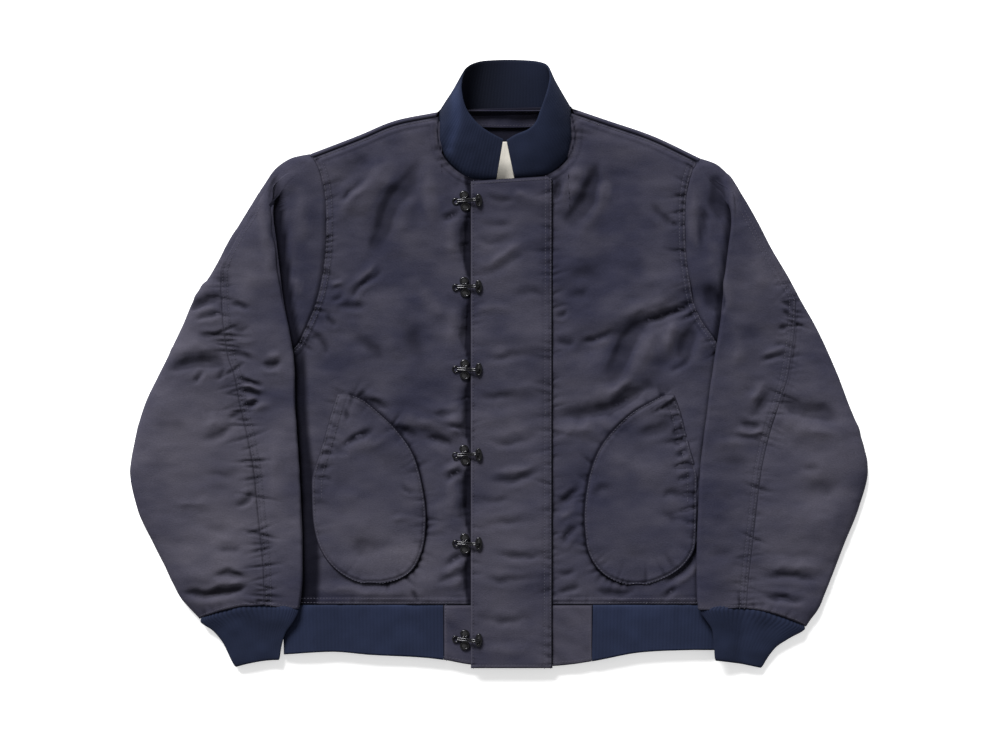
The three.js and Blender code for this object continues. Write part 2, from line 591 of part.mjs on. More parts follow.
// The back lies on the surface, and turns over each shoulder to the seam in front of the fold
function backPanel() {
  const tip = (side) => shoulderFolds[side].at(-1);
  const edge = (side) => [
    ...panelSide(side, seamGap / 2, backFlankRows),
    point(tip(side).x, tip(side).y),
  ];
  const [start, end] = [edge("right"), edge("left")];
  const right = along([...shoulderFolds.right].reverse());
  const left = along(shoulderFolds.left);
  const neckRight = point(shoulderFolds.right[0].x, shoulderFolds.right[0].y);
  const neckLeft = point(shoulderFolds.left[0].x, shoulderFolds.left[0].y);
  const top = (s) => {
    if (s <= neckShares.right) return right(s / neckShares.right);
    if (s >= neckShares.left) return left((s - neckShares.left) / (1 - neckShares.left));
    return neckRight.clone().lerp(neckLeft, (s - neckShares.right) / (neckShares.left - neckShares.right));
  };
  const bottom = (s) => start[0].clone().lerp(end[0], s);
  const grid = patch({ bottom, top, start, end }, backAcross);
  const outer = grid.map((row) => row.map((p) => point(p.x, p.y, backZ(p.x, p.y))));
  const foldRow = grid.length - 1;
  const lastColumn = backAcross.length - 1;
  const normals = grid.map((row, i) =>
    row.map((p, j) => {
      if (j === 0 && i <= backFlankRows) return point(outward.right, 0, 0);
      if (j === lastColumn && i <= backFlankRows) return point(outward.left, 0, 0);
      return slopeNormal(backZ, p.x, p.y, -1);
    }),
  );
  const neck = grid[foldRow];
  const [rightFold, leftFold] = [foldNormal("right"), foldNormal("left")];
  normals[foldRow] = backAcross.map((s, j) => {
    if (s <= neckShares.right) return rightFold(1 - s / neckShares.right);
    if (s >= neckShares.left) return leftFold((s - neckShares.left) / (1 - neckShares.left));
    return normals[foldRow][j];
  });
  flapDrops.forEach((drop) => {
    const [rightFlap, leftFlap] = [besideFold("right", drop), besideFold("left", drop)];
    const flap = backAcross.map((s, j) => {
      if (s <= neckShares.right) return rightFlap(1 - s / neckShares.right);
      if (s >= neckShares.left) return leftFlap((s - neckShares.left) / (1 - neckShares.left));
      return neck[j];
    });
    outer.push(flap.map((p) => point(p.x, p.y, frontZ(p.x, p.y))));
    normals.push(flap.map((p) => slopeNormal(frontZ, p.x, p.y, 1)));
  });
  const rightEnd = seamSteps.length - 1;
  const leftStart = lastColumn - rightEnd;
  const has = (i, j) => i < foldRow || j < rightEnd || j >= leftStart;
  return wall(outer, normals, clothWall, { has });
}

// The height of whatever lies over the body's side, off the floor outside it
function overBodyZ(side, x, y) {
  const share = (insideBy(side, x, y) + climbOut) / (climbOut + climbIn);
  return (bodyHeight(y) + bodyClear) * smooth(share);
}

const lastSection = sleeveSections.right.length - 1;
const flatSteps = [0, 0.3, 0.5, 0.6, 0.7, 0.76, 0.82, 0.88, 0.94, 1];
const topSteps = 4;
const rimSteps = [0, 0.3, 0.55, 0.76, 0.9, 0.97];
const underSteps = [1, 4, 8.5, 15];
const armSteps = [24, 12, 5, 0];

// One section of a sleeve: the points of its front panel and of its back panel
function sleeveSection(side, k) {
  const row = sleeveSections[side][k];
  const out = outward[side];
  const width = Math.abs(row.rimX - row.armX);
  const slant = Math.hypot(row.rimX - row.armX, row.rimY - row.armY) / width;
  const arch = sleeveEndArch * smooth((k - lastSection + 3) / 3);
  const at = (x, z) => {
    const share = clamp((x - row.armX) / (row.rimX - row.armX), 0, 1);
    const y = lerp(row.armY, row.rimY, share) + 4 * arch * share * (1 - share);
    return point(k === 0 ? x + out * tipClear : x, y, z);
  };
  const reach = lerp(shoulderReach, sideReach, clamp(k / 4, 0, 1));
  const topZ = (x) => {
    const y = at(x, 0).y;
    const outer = Math.min(row.height, outerHeight);
    const crown = lerp(row.height, outer, smooth((out * (x - row.lap)) / crownRun));
    const share = dome(Math.max(0, out * (row.rimX - x)) * slant, reach);
    return midHeight + (crown - midHeight + relief(sleeveFolds[side], x, y)) * share;
  };
  const armX = row.armX + out * armGap;
  const lapping = k >= firstLapRow;
  const below = k > armpitRow;
  const overZ = (x) => overBodyZ(side, x, at(x, 0).y);
  const armZ = below ? overZ(armX) : frontZ(row.armX, row.armY);
  const stripZ = armZ + layClear / 2;
  const lapUnder = k < armpitRow ? stripZ + layClear : overZ(row.lap);
  const roll = Math.max(0.5, (row.height - lapUnder) / 2);
  const lapFold = [-90, -45, 0, 45, 90].map((degrees) => {
    const turn = THREE.MathUtils.degToRad(degrees);
    return { x: row.lap + out * roll * (1 - Math.cos(turn)), z: lapUnder + roll * (1 + Math.sin(turn)) };
  });
  let first;
  if (k < firstLapRow) {
    first = flatSteps.map((s) => {
      const x = lerp(armX, row.lap, s);
      return { x, z: lerp(armZ, topZ(x), smooth(s * 2)) };
    });
  } else if (k < armpitRow) {
    const fold = clamp((out * (row.tuck - row.lap)) / 8, 0, 1);
    const flat = flatSteps.map((s) => ({
      x: lerp(armX, row.lap + out * 2, s),
      z: lerp(stripZ, row.height, smooth(s * 1.6 - 0.6)),
    }));
    const folded = [
      { x: armX, z: armZ },
      { x: lerp(armX, row.tuck, 0.55), z: stripZ },
      { x: row.tuck - out, z: stripZ },
      { x: row.tuck, z: stripZ + layClear / 2 },
      { x: row.tuck - out, z: stripZ + layClear },
      ...lapFold,
    ];
    first = flat.map((p, i) => ({ x: lerp(p.x, folded[i].x, fold), z: lerp(p.z, folded[i].z, fold) }));
  } else {
    const end = lapFold[0];
    first = spaced(5).slice(0, 5).map((s) => {
      const x = lerp(armX, end.x, s);
      if (below) return { x, z: overZ(x) };
      const puff = out * 3.2 * Math.sin(Math.PI * s);
      return { x: x + puff, z: lerp(midHeight, end.z, Math.sin((Math.PI / 2) * s)) };
    });
    first.push(...lapFold);
  }
  const lapEnd = first.at(-1).x;
  const seamX = row.seam;
  for (const s of spaced(topSteps).slice(1)) {
    const x = lerp(lapEnd, seamX - (out * seamGap) / 2, s);
    first.push({ x, z: topZ(x) });
  }
  const startX = seamX + (out * seamGap) / 2;
  const second = rimSteps.map((s) => {
    const x = lerp(startX, row.rimX, s);
    return { x, z: topZ(x) };
  });
  second.push({ x: row.rimX, z: midHeight });
  const armUnder = k < armpitRow ? backZ(row.armX, row.armY) : underMid;
  const backX = below ? armX + out * seamGap : armX;
  const underReachHere = Math.min(underReach, 0.5 * width * slant);
  const underZ = (x) => {
    const round = 1 - dome((out * (row.rimX - x)) * slant, underReachHere);
    if (below) return underMid * round + overBodyZ(side, x, at(x, 0).y) * (1 - round);
    const lift = armUnder * (1 - smooth(Math.abs(x - backX) / 18));
    return Math.max(underMid * round, lift);
  };
  const lastUnder = Math.min(underSteps.at(-1), 0.5 * width);
  const unders = underSteps.map((s) => (row.rimX - (out * s * lastUnder) / underSteps.at(-1)));
  for (const x of unders) second.push({ x, z: underZ(x) });
  for (const step of armSteps) {
    const x = backX + out * Math.min(step, (step / armSteps[0]) * 0.4 * width);
    second.push({ x, z: underZ(x) });
  }
  const toPoints = (list) => list.map((p) => at(p.x, p.z));
  return { front: toPoints(first), back: toPoints(second) };
}

// Gives the two edges of a seam one normal, so that their walls meet in a mitre
function match(normals, a, b) {
  const shared = normals[a].clone().add(normals[b]).normalize();
  normals[a] = shared;
  normals[b] = shared.clone();
}

function sleevePanels(side) {
  const sections = sleeveSections[side].map((_, k) => sleeveSection(side, k));
  const whole = sections.map((section) => [...section.front, ...section.back]);
  const normals = gridNormals(whole, -outward[side], (k) => k >= armpitRow);
  const split = sections[0].front.length;
  const fold = along(shoulderFolds[side]);
  const way = fold(1).sub(fold(0.98)).multiplyScalar(-outward[side]);
  normals[0] = whole[0].map((_, j) => {
    const across = whole[0][Math.min(j + 1, whole[0].length - 1)].clone().sub(whole[0][Math.max(j - 1, 0)]);
    return across.cross(way).normalize();
  });
  normals.forEach((row, k) => {
    match(row, split - 1, split);
    if (k >= armpitRow) match(row, 0, row.length - 1);
  });
  const panel = (from, to) =>
    wall(
      whole.map((row) => row.slice(from, to)),
      normals.map((row) => row.slice(from, to)),
      clothWall,
    );
  return { front: panel(0, split), back: panel(split) };
}

// A knit cuff, its ribs raised in the outer face over a plain inner one
function cuff(side) {
  const columns = 2 * cuffRibs;
  const out = outward[side];
  const ringAt = (inset) =>
    cuffSections[side].map((row) =>
      Array.from({ length: columns }, (_, j) => {
        const turn = (2 * Math.PI * j) / columns;
        const inner = inset / Math.abs(row.outerX - row.innerX);
        const share = lerp(inner, 1 - inner, (1 - Math.cos(turn)) / 2);
        const x = lerp(row.innerX, row.outerX, share);
        const y = lerp(row.innerY, row.outerY, share) + 4 * row.arch * share * (1 - share);
        const floor = overBodyZ(side, x, y) + inset;
        const thick = lerp(cuffOverBody, row.thick, smooth(share / 0.4)) - 2 * inset;
        const round = Math.sign(Math.sin(turn)) * Math.abs(Math.sin(turn)) ** 0.6;
        return point(x, y, floor + (thick / 2) * (1 + round));
      }),
    );
  const grid = ringAt(0);
  const normals = gridNormals(grid, -out, () => true);
  const outer = moved(grid, normals, (i, j) => (j % 2 ? -ribRise : 0));
  return solidBetween(outer, ringAt(knitWall), { ring: true });
}

// Places across the waistband: out along the front, round the side, and over to the middle back
const hemDepths = [0, 0.5, 1];

function hemPoint(side, x, depth, front) {
  const y = lerp(hemSeamY - seamGap, hemEdgeY(x), depth);
  const drawn = x * (sideX[side](y) / sideX[side](hemSeamY));
  return point(drawn, y, front ? frontZ(drawn, y) : backZ(drawn, y));
}

const roundSteps = [14, 8, 4, 1.6, 0.4, 0];
const ribPitch = 4.1;

function hemRib() {
  const columns = [];
  const add = (side, x, front, rib) => columns.push({ side, x, front, rib });
  const run = (side, tabX) => {
    const edge = sideX[side](hemSeamY);
    const start = edge - outward[side] * 18;
    const ribs = Math.round(Math.abs(start - tabX) / ribPitch);
    const list = spaced(2 * ribs).map((s, i) => ({ x: lerp(tabX, start, s), front: true, rib: i % 2 === 1 }));
    for (const step of roundSteps) list.push({ x: edge - outward[side] * step, front: true, rib: false });
    for (const step of roundSteps.slice(0, -1).reverse()) {
      list.push({ x: edge - outward[side] * step, front: false, rib: false });
    }
    return list.map((place) => ({ side, ...place }));
  };
  const right = run("right", tabRightX);
  const left = run("left", tabLeftX).reverse();
  const across = spaced(9).slice(1, -1);
  const back = across.map((s) => ({
    side: s < 0.5 ? "right" : "left",
    x: lerp(right.at(-1).x, left[0].x, s),
    front: false,
    rib: false,
  }));
  columns.push(...right, ...back, ...left);
  const grid = hemDepths.map((depth) => columns.map((c) => hemPoint(c.side, c.x, depth, c.front)));
  const normals = gridNormals(grid, 1);
  const outer = moved(grid, normals, (i, j) => (columns[j].rib ? -ribRise : 0));
  return solidBetween(outer, moved(grid, normals, () => -knitWall));
}

function frontSheet(xs, ys, lift, thickness, folds = [], shift = (x) => x) {
  const grid = ys.map((y) =>
    xs.map((s) => {
      const [x, at] = shift(s, y);
      return point(x, at, frontZ(x, at) + lift + relief(folds, x, at));
    }),
  );
  const normals = gridNormals(grid, 1).map((row) => row.map((n) => n.multiplyScalar(Math.sign(n.z))));
  return wall(grid, normals, thickness);
}

const hemTab = (side, fromX, toX) =>
  frontSheet(spaced(4), hemDepths, 0, knitWall, [], (s, depth) => {
    const at = hemPoint(side, lerp(fromX, toX, s), depth, true);
    return [at.x, at.y];
  });

const placketSteps = [0, 0.04, 0.2, 0.4, 0.6, 0.8, 0.9, 1];

const placket = () =>
  frontSheet(placketSteps, spaced(19), overlayClear + placketWall, placketWall, placketFolds, (s, t) => {
    const x = lerp(placketRight, placketLeft, s);
    const corner = Math.max(0, x - placketLeft + placketTop.chamfer);
    const topY = lerp(placketTop.right, placketTop.left, s) - corner;
    return [x, lerp(placketBottom, topY, t)];
  });

const pocketSteps = [0, 0.05, 0.3, 0.5, 0.7, 0.95, 1];

const pocket = (side) =>
  frontSheet(pocketSteps, pockets[side], overlayClear + pocketWall, pocketWall, [], (s, row) => [
    lerp(row.outer, row.inner, s),
    row.y,
  ]);

const collarSteps = [0, 0.2, 0.5, 0.8, 1];

function collar() {
  const grid = collarSteps.map((t) =>
    collarRows.map((row) => {
      const p = point(
        lerp(row.seamX, row.edgeX, t),
        lerp(row.seamY, row.edgeY, t),
        lerp(row.seamZ, row.edgeZ, t),
      );
      p.z += row.bulge * Math.sin(Math.PI * t) * 0.6;
      return p;
    }),
  );
  const normals = gridNormals(grid, 1);
  const half = knitWall / 2;
  return solidBetween(moved(grid, normals, () => half), moved(grid, normals, () => -half));
}

function insideSheet({ fromX, toX, lowY, topY, sag = 0, wall: thickness }, base, columns) {
  const low = [0, 1].map((t) =>
    spaced(columns).map((s) => {
      const x = lerp(fromX, toX, s);
      const y = lerp(lowY - 4 * sag * s * (1 - s), topY, t);
      return point(x, y, backZ(x, y) + base);
    }),
  );
  const high = low.map((row) => row.map((p) => p.clone().add(point(0, 0, thickness))));
  return solidBetween(low, high);
}

const { toSolid, toGeometry } = await solidTools();

async function solidTools() {
  const library = await Module();
  library.setup();
  const toSolid = (geometry) => {
    const bare = new THREE.BufferGeometry();
    bare.setAttribute("position", geometry.getAttribute("position"));
    bare.setIndex(geometry.index);
    const merged = mergeVertices(bare, 1e-4);
    const vertProperties = merged.attributes.position.array;
    const triVerts = new Uint32Array(merged.index.array);
    return new library.Manifold(new library.Mesh({ numProp: 3, vertProperties, triVerts }));
  };
  const toGeometry = (solid) => {
    const mesh = solid.getMesh();
    const geometry = new THREE.BufferGeometry();
    geometry.setAttribute("position", new THREE.BufferAttribute(mesh.vertProperties, 3));
    geometry.setIndex(new THREE.BufferAttribute(mesh.triVerts, 1));
    return geometry;
  };
  return { toSolid, toGeometry };
}

// A closed loop of wire, lying flat at a height
function wireLoop({ x, y, across, along: length }, z, segments) {
  const corners = [0, 45, 90, 135, 180, 225, 270, 315].map((degrees) => {
    const turn = THREE.MathUtils.degToRad(degrees);
    return point(x + (across / 2) * Math.cos(turn), y + (length / 2) * Math.sin(turn), z);
  });
  const path = new THREE.CatmullRomCurve3(corners, true);
  return new THREE.TubeGeometry(path, segments, wire, wireSides, true);
}

// A length of wire with pointed ends
function wireLength(rows, radius, segments) {
  const path = new THREE.CatmullRomCurve3(rows.map(({ x, y, z }) => point(x, y, z)));
  const centres = spaced(segments).map((t) => path.getPointAt(t));
  const frames = path.computeFrenetFrames(segments, false);
  const rings = centres.map((centre, i) =>
    Array.from({ length: wireSides }, (_, j) => {
      const turn = (2 * Math.PI * j) / wireSides;
      const spot = centre.clone().addScaledVector(frames.normals[i], radius * Math.cos(turn));
      return spot.addScaledVector(frames.binormals[i], radius * Math.sin(turn));
    }),
  );
  const ends = [path.getPointAt(0), path.getPointAt(1)];
  ends[0].addScaledVector(frames.tangents[0], -radius / 2);
  ends[1].addScaledVector(frames.tangents[segments], radius / 2);
  const positions = [ends[0], ...rings.flat(), ends[1]].flatMap((p) => [p.x, p.y, p.z]);
  const index = [];
  const at = (i, j) => 1 + i * wireSides + (j % wireSides);
  const last = positions.length / 3 - 1;
  for (let j = 0; j < wireSides; j += 1) {
    index.push(0, at(0, j + 1), at(0, j), last, at(segments, j), at(segments, j + 1));
    for (let i = 0; i < segments; i += 1) {
      index.push(at(i, j), at(i, j + 1), at(i + 1, j + 1), at(i, j), at(i + 1, j + 1), at(i + 1, j));
    }
  }
  return facingOut(positions, index);
}

function placeClasp(geometry, x, y, z, tilt) {
  const turn = new THREE.Matrix4().makeRotationZ(THREE.MathUtils.degToRad(tilt));
  return geometry.applyMatrix4(turn.setPosition(x, y, z));
}

const clothLift = 0.4;

function hook({ y, tilt }) {
  const base = frontZ(hookX, y) + clothLift + wire;
  const loops = hookLoops.map((loop) => wireLoop(loop, 0, 9));
  const pieces = [...loops, wireLength(shank, shankRadius, 5), wireLength(hookBridge, wire, 2)];
  const solid = pieces.map(toSolid).reduce((all, piece) => all.add(piece)).simplify(0.25);
  return placeClasp(toGeometry(solid), hookX, y, base, tilt);
}

function eye({ y, tilt }) {
  const base = frontZ(eyeX, y) + overlayClear + placketWall + relief(placketFolds, eyeX, y) + clothLift + wire;
  const loop = wireLoop({ x: 0, y: 0, ...eyeSize }, 0, 11);
  return placeClasp(toGeometry(toSolid(loop)), eyeX, y, base, tilt);
}

const jacket = new THREE.Group();
function add(name, geometry, colour, roughness = 0.85, metalness = 0) {
  const material = new THREE.MeshStandardMaterial({ color: colour, roughness, metalness });
  const mesh = new THREE.Mesh(geometry, material);
  mesh.name = name;
  jacket.add(mesh);
}

add("back", backPanel(), colours.cloth);
for (const side of sides) {
  const sleeve = sleevePanels(side);
  add(`front_${side}`, frontPanel(side), colours.cloth);
  add(`sleeve_${side}_front`, sleeve.front, colours.cloth);
  add(`sleeve_${side}_back`, sleeve.back, colours.cloth);
  add(`cuff_${side}`, cuff(side), colours.knit);
  add(`pocket_${side}`, pocket(side), colours.cloth);
}
add("hem_rib", hemRib(), colours.knit);
add("hem_tab_right", hemTab("right", tabRightX + seamGap, centreX - seamGap / 2), colours.cloth);
add("hem_tab_left", hemTab("left", centreX + seamGap / 2, tabLeftX - seamGap), colours.cloth);
add("placket", placket(), colours.cloth);
add("collar", collar(), colours.knit, 0.95);
add("neck_facing", insideSheet(facing, clothWall + seamGap, 6), colours.cloth);
add("label", insideSheet(label, clothWall + seamGap, 4), colours.label, 0.4);
clasps.forEach((clasp, i) => {
  add(`hook_${i + 1}`, hook(clasp), colours.metal, 0.3, 0.9);
  add(`eye_${i + 1}`, eye(clasp), colours.metal, 0.3, 0.9);
});

jacket.position.set(frameShift.x, frameShift.y, 0);

export default jacket;
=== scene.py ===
"""The looks of a navy deck jacket laid flat on its back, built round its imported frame."""

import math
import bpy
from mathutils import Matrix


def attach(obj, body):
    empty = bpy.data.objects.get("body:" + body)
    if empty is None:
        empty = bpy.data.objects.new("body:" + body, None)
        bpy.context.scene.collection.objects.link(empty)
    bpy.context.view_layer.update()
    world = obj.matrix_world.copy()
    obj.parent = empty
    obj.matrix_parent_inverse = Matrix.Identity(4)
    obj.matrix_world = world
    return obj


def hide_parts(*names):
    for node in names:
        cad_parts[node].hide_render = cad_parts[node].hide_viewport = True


bl_info = {
    "name": "Deck jacket",
    "version": (1, 0, 0),
    "blender": (4, 5, 0),
    "location": "View3D > Sidebar > Deck jacket",
    "description": "Builds the cloth, knit, hooks and studio of a deck jacket round its frame",
    "category": "Object",
}

import bpy
import numpy as np
from mathutils import Vector

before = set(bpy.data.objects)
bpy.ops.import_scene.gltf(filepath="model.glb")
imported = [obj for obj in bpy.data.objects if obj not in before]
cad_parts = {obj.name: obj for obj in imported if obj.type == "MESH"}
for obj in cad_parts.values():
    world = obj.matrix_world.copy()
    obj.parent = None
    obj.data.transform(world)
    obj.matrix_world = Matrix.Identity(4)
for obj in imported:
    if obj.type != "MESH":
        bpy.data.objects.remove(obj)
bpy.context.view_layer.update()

# Drawing sizes are in millimetres, with X to the wearer's left, Y to the collar and Z up. The
# frame's box is centred, which moves the drawing by this much.
MM = 0.001
FRAME_SHIFT = np.array([1.15, 0.2, 0.0])

SIDES = ("right", "left")
OUT = {"right": -1, "left": 1}
HEM_Y = -276
MID_Z = 8.5
UNDER_Z = 8.2
CENTRE_X = 5.75
ARMPIT_Y = 11
SEAM_GAP = 0.3

# y, x of the wearer's right side, x of the left side
BODY_SIDES = [
    (-350, -249, 254),
    (-276, -251, 257),
    (-205, -253, 260),
    (-130, -254, 261),
    (-50, -250, 260),
    (11, -246, 257.6),
]
BODY_HEIGHTS = [
    (-350, 13), (-300, 14.5), (-272, 16), (-160, 17.5), (60, 18), (200, 17.5), (300, 17),
]
SHOULDER_FOLDS = {
    "right": [(-72, 292), (-123, 281.5), (-163, 265), (-219, 243.5)],
    "left": [(84, 296), (122, 283), (176, 264.5), (231, 238.5)],
}
SHOULDER_DROP = 6
NECKLINES = {
    "right": [
        (-70.8, 286.1), (-71.5, 262), (-65.5, 242), (-52, 226), (-35, 216), (-16, 213),
        (5.6, 212.5),
    ],
    "left": [
        (82, 290.3), (86, 264), (81, 243), (68, 227.5), (50, 218), (28, 214.5), (5.9, 212.5),
    ],
}

# The body's broad folds: from, to, width, rise
BODY_FOLDS = [
    ((222, 70), (100, 18), 13, -3),
    ((205, 95), (95, 45), 16, 2.6),
    ((222, 40), (185, -12), 12, -2.4),
    ((118, 205), (128, 118), 14, -3),
    ((95, 200), (92, 120), 13, 2.2),
    ((70, -62), (112, -52), 12, -2.2),
    ((72, -160), (100, -128), 10, -1.8),
    ((-195, 160), (-120, 30), 18, 2.2),
    ((-165, 175), (-85, 70), 16, -1.8),
    ((-118, 205), (-90, 60), 14, 2),
    ((-112, -78), (-52, -94), 12, -2.2),
    ((-80, -55), (-38, -70), 11, 2),
    ((-150, -262), (-50, -245), 10, 1.6),
]
SLEEVE_FOLDS = {
    "right": [
        ((-348, 72), (-308, 76), 9, -2.4),
        ((-355, 50), (-285, 58), 11, 1.8),
        ((-372, -12), (-300, 12), 13, -2),
        ((-352, -264), (-300, -256), 8, -2.6),
        ((-360, -247), (-285, -243), 9, 1.6),
        ((-330, -60), (-280, -35), 12, -1.6),
    ],
    "left": [
        ((262, 28), (330, 30), 12, -1.8),
        ((300, -60), (395, -84), 14, 2),
        ((310, -85), (400, -88), 12, -1.8),
        ((296, -246), (372, -244), 8, -2.4),
        ((300, -268), (360, -268), 8, -1.8),
        ((240, -250), (285, -215), 12, 1.4),
    ],
}

# Sleeve sections from the shoulder tip to the cuff: armhole x and y (the underarm seam below the
# armpit), x of the hidden tuck, of the fold over the body and of the long seam, x and y of the
# outer rim, and the height of the upper layer
SLEEVES = {
    "right": [
        (-216.8, 237.9, -217.2, -217.8, -218.6, -219.4, 243.4, 17.5),
        (-212, 230.5, -218, -224, -234, -238, 239.7, 17.5),
        (-207, 217, -226, -238, -252.5, -258, 227.5, 18),
        (-203.5, 200, -258, -260, -268.5, -275, 203.5, 21),
        (-201, 175, -272, -260.5, -286, -293, 175, 23.5),
        (-201.5, 140, -275, -256.5, -307, -314, 140, 24.5),
        (-205, 105, -275, -252.5, -322, -333.5, 105, 25),
        (-212, 74, -272, -248.5, -320.5, -354, 74, 25),
        (-223, 46, -265, -243, -318, -366, 46, 25),
        (-234.5, 23, -255, -239, -315, -377, 23, 25.5),
        (-246, 11, 0, -237, -313, -384, 8, 25.5),
        (-247.5, -14, 0, -235.5, -305, -395, -14, 25.5),
        (-248, -46, 0, -235, -299, -410, -46, 25.5),
        (-248, -84, 0, -232.5, -290, -420.8, -84, 25.5),
        (-247, -124, 0, -230, -282.5, -426.8, -124, 25.5),
        (-245, -165, 0, -228, -278.5, -418.5, -166, 25.5),
        (-243, -205, 0, -226.5, -274.5, -400, -206, 25.5),
        (-243, -240, 0, -226.5, -271.5, -381, -243, 25),
        (-243, -264, 0, -228, -271, -367, -270, 24.5),
        (-244, -280, 0, -230.5, -271.5, -346.5, -293, 23.5),
    ],
    "left": [
        (228.4, 233.1, 229, 229.7, 230.5, 231.3, 238.4, 17.5),
        (222.5, 223, 228, 233, 243, 247, 233, 17.5),
        (218, 208, 235, 245, 257.5, 263, 220, 18),
        (215, 190, 262, 265, 272.5, 279, 197, 21),
        (214, 165, 277, 265.5, 290, 297, 166, 23.5),
        (215, 133, 281, 262, 306, 313, 135, 24.5),
        (218.5, 102, 282, 258, 325.5, 332.5, 102, 25),
        (224, 73, 281, 255.5, 341, 348, 73, 25),
        (233.5, 50.5, 277, 253, 340, 361, 50.5, 25),
        (247, 31, 268, 250, 338, 371.5, 30, 25.5),
        (257.6, 11, 0, 246.5, 335, 381, 9, 25.5),
        (258, -12, 0, 243.5, 331.5, 390, -12, 25.5),
        (256, -44, 0, 239, 321.5, 402, -44, 25.5),
        (252, -82, 0, 234, 309.5, 416.5, -82, 25.5),
        (249, -122, 0, 229.5, 300.5, 424.5, -122, 25.5),
        (247, -165, 0, 227.5, 295, 414, -165, 25.5),
        (246, -205, 0, 226, 290.5, 397.5, -206, 25.5),
        (246, -242, 0, 225.5, 286.5, 382.5, -245, 25),
        (246, -264, 0, 226, 284.5, 369, -277, 24.5),
        (246, -281, 0, 228.5, 283.5, 353, -302, 23.5),
    ],
}
ARMPIT_ROW = 10
FIRST_LAP_ROW = 3
LAST_ROW = 19
# The line of each sleeve's fold over the body
LAP_LINE = {
    side: np.array([(row[3], row[1]) for row in SLEEVES[side][FIRST_LAP_ROW:]]) for side in SIDES
}

# Cuff rings from the sleeve's end down: inner x and y, outer x and y, arch, height
CUFFS = {
    "right": [
        (-231.5, -282.4, -345.5, -295.6, 7.8, 18),
        (-237, -294, -331, -307, 6, 16),
        (-247, -309, -319, -322, 2, 14),
        (-252, -326, -312, -337, 1, 13.5),
        (-254, -340, -306, -349, 2, 12.5),
    ],
    "left": [
        (229.5, -282.8, 352, -304, 8.8, 18),
        (236.5, -293, 334, -315, 6, 16),
        (244, -306, 318, -326, 2, 14),
        (246, -322, 309, -338, 1, 13.5),
        (247, -340, 302, -350, 1, 12.5),
    ],
}
HEM_EDGE = [
    (-260, -334.5), (-195, -330.5), (-150, -334), (-92, -337), (-64, -340), (-30, -345.5),
    (60, -347), (107, -341.5), (160, -331.5), (220, -328.5), (265, -329),
]
TAB_RIGHT_X = -65.5
TAB_LEFT_X = 107
PLACKET_RIGHT = -33.5
PLACKET_LEFT = 60.5
PLACKET_TOP_RIGHT = 211.5
PLACKET_TOP_LEFT = 217.5
PLACKET_CHAMFER = 5
PLACKET_BOTTOM = -349
PLACKET_LENGTH = 562
PLACKET_THICKNESS = 2.2
TAB_DEPTH = 62
PLACKET_FOLDS = [
    ((-28, 196), (55, 186), 7, 1.3),
    ((-20, 115), (50, 150), 9, 1.3),
    ((-20, 30), (56, 34), 8, 1.1),
    ((-15, -62), (52, -48), 8, 1.3),
    ((-25, -175), (54, -165), 9, 1.4),
    ((-25, -250), (50, -246), 8, 1.2),
]

# y, x of the outer edge, x of the inner edge
POCKETS = {
    "right": [
        (-33, -187, -173), (-40, -189.5, -157), (-56, -194.5, -137), (-76, -200, -117),
        (-103, -208, -99), (-135, -216.5, -89.5), (-172, -215.5, -84.5), (-200, -211, -86),
        (-222, -201, -92), (-238, -186, -102), (-247, -171, -117), (-251.5, -158, -136),
    ],
    "left": [
        (-34, 200, 188), (-42, 203.5, 173), (-54, 207.5, 152), (-72, 212.5, 132),
        (-99, 219.5, 112), (-131, 227, 101), (-172, 226.5, 96), (-206, 225, 98.5),
        (-228, 214, 107), (-242, 196, 120), (-249, 180, 133), (-253, 167, 147),
    ],
}

# How the grids are spaced: length, zone of fine gaps at its ends, finest and widest gap, and what
# the number of gaps is a multiple of
SPACINGS = {
    "back_up": (560, 20, 3, 6, 3),
    "back_across": (500, 24, 2.5, 6, 3),
    "placket_up": (PLACKET_LENGTH, 12, 0.9, 2.2, 3),
    "placket_across": (94, 12, 0.8, 2.2, 3),
    "pocket_up": (220, 14, 0.9, 2.4, 3),
    "pocket_across": (125, 12, 0.9, 2.4, 3),
    "tab_up": (TAB_DEPTH, 10, 1.2, 2.5, 3),
    "hem_up": (55, 8, 2.5, 6, 2),
    "collar_up": (60, 10, 1.2, 2.6, 2),
}
# The fronts' length and width, each with its zone of fine gaps and the finest of them
FRONT_UP = (560, 16, 1.1)
FRONT_ACROSS = (255, 16, 1.0)

# How far from a seam its rows of stitches run
FRONT_ROWS = (3, 9)
SHOULDER_ROWS = (3, 8)
SLEEVE_ROWS = (2.6, 8)
PLACKET_ROWS = (3.5, 10.5)
OPENING_ROW = 12

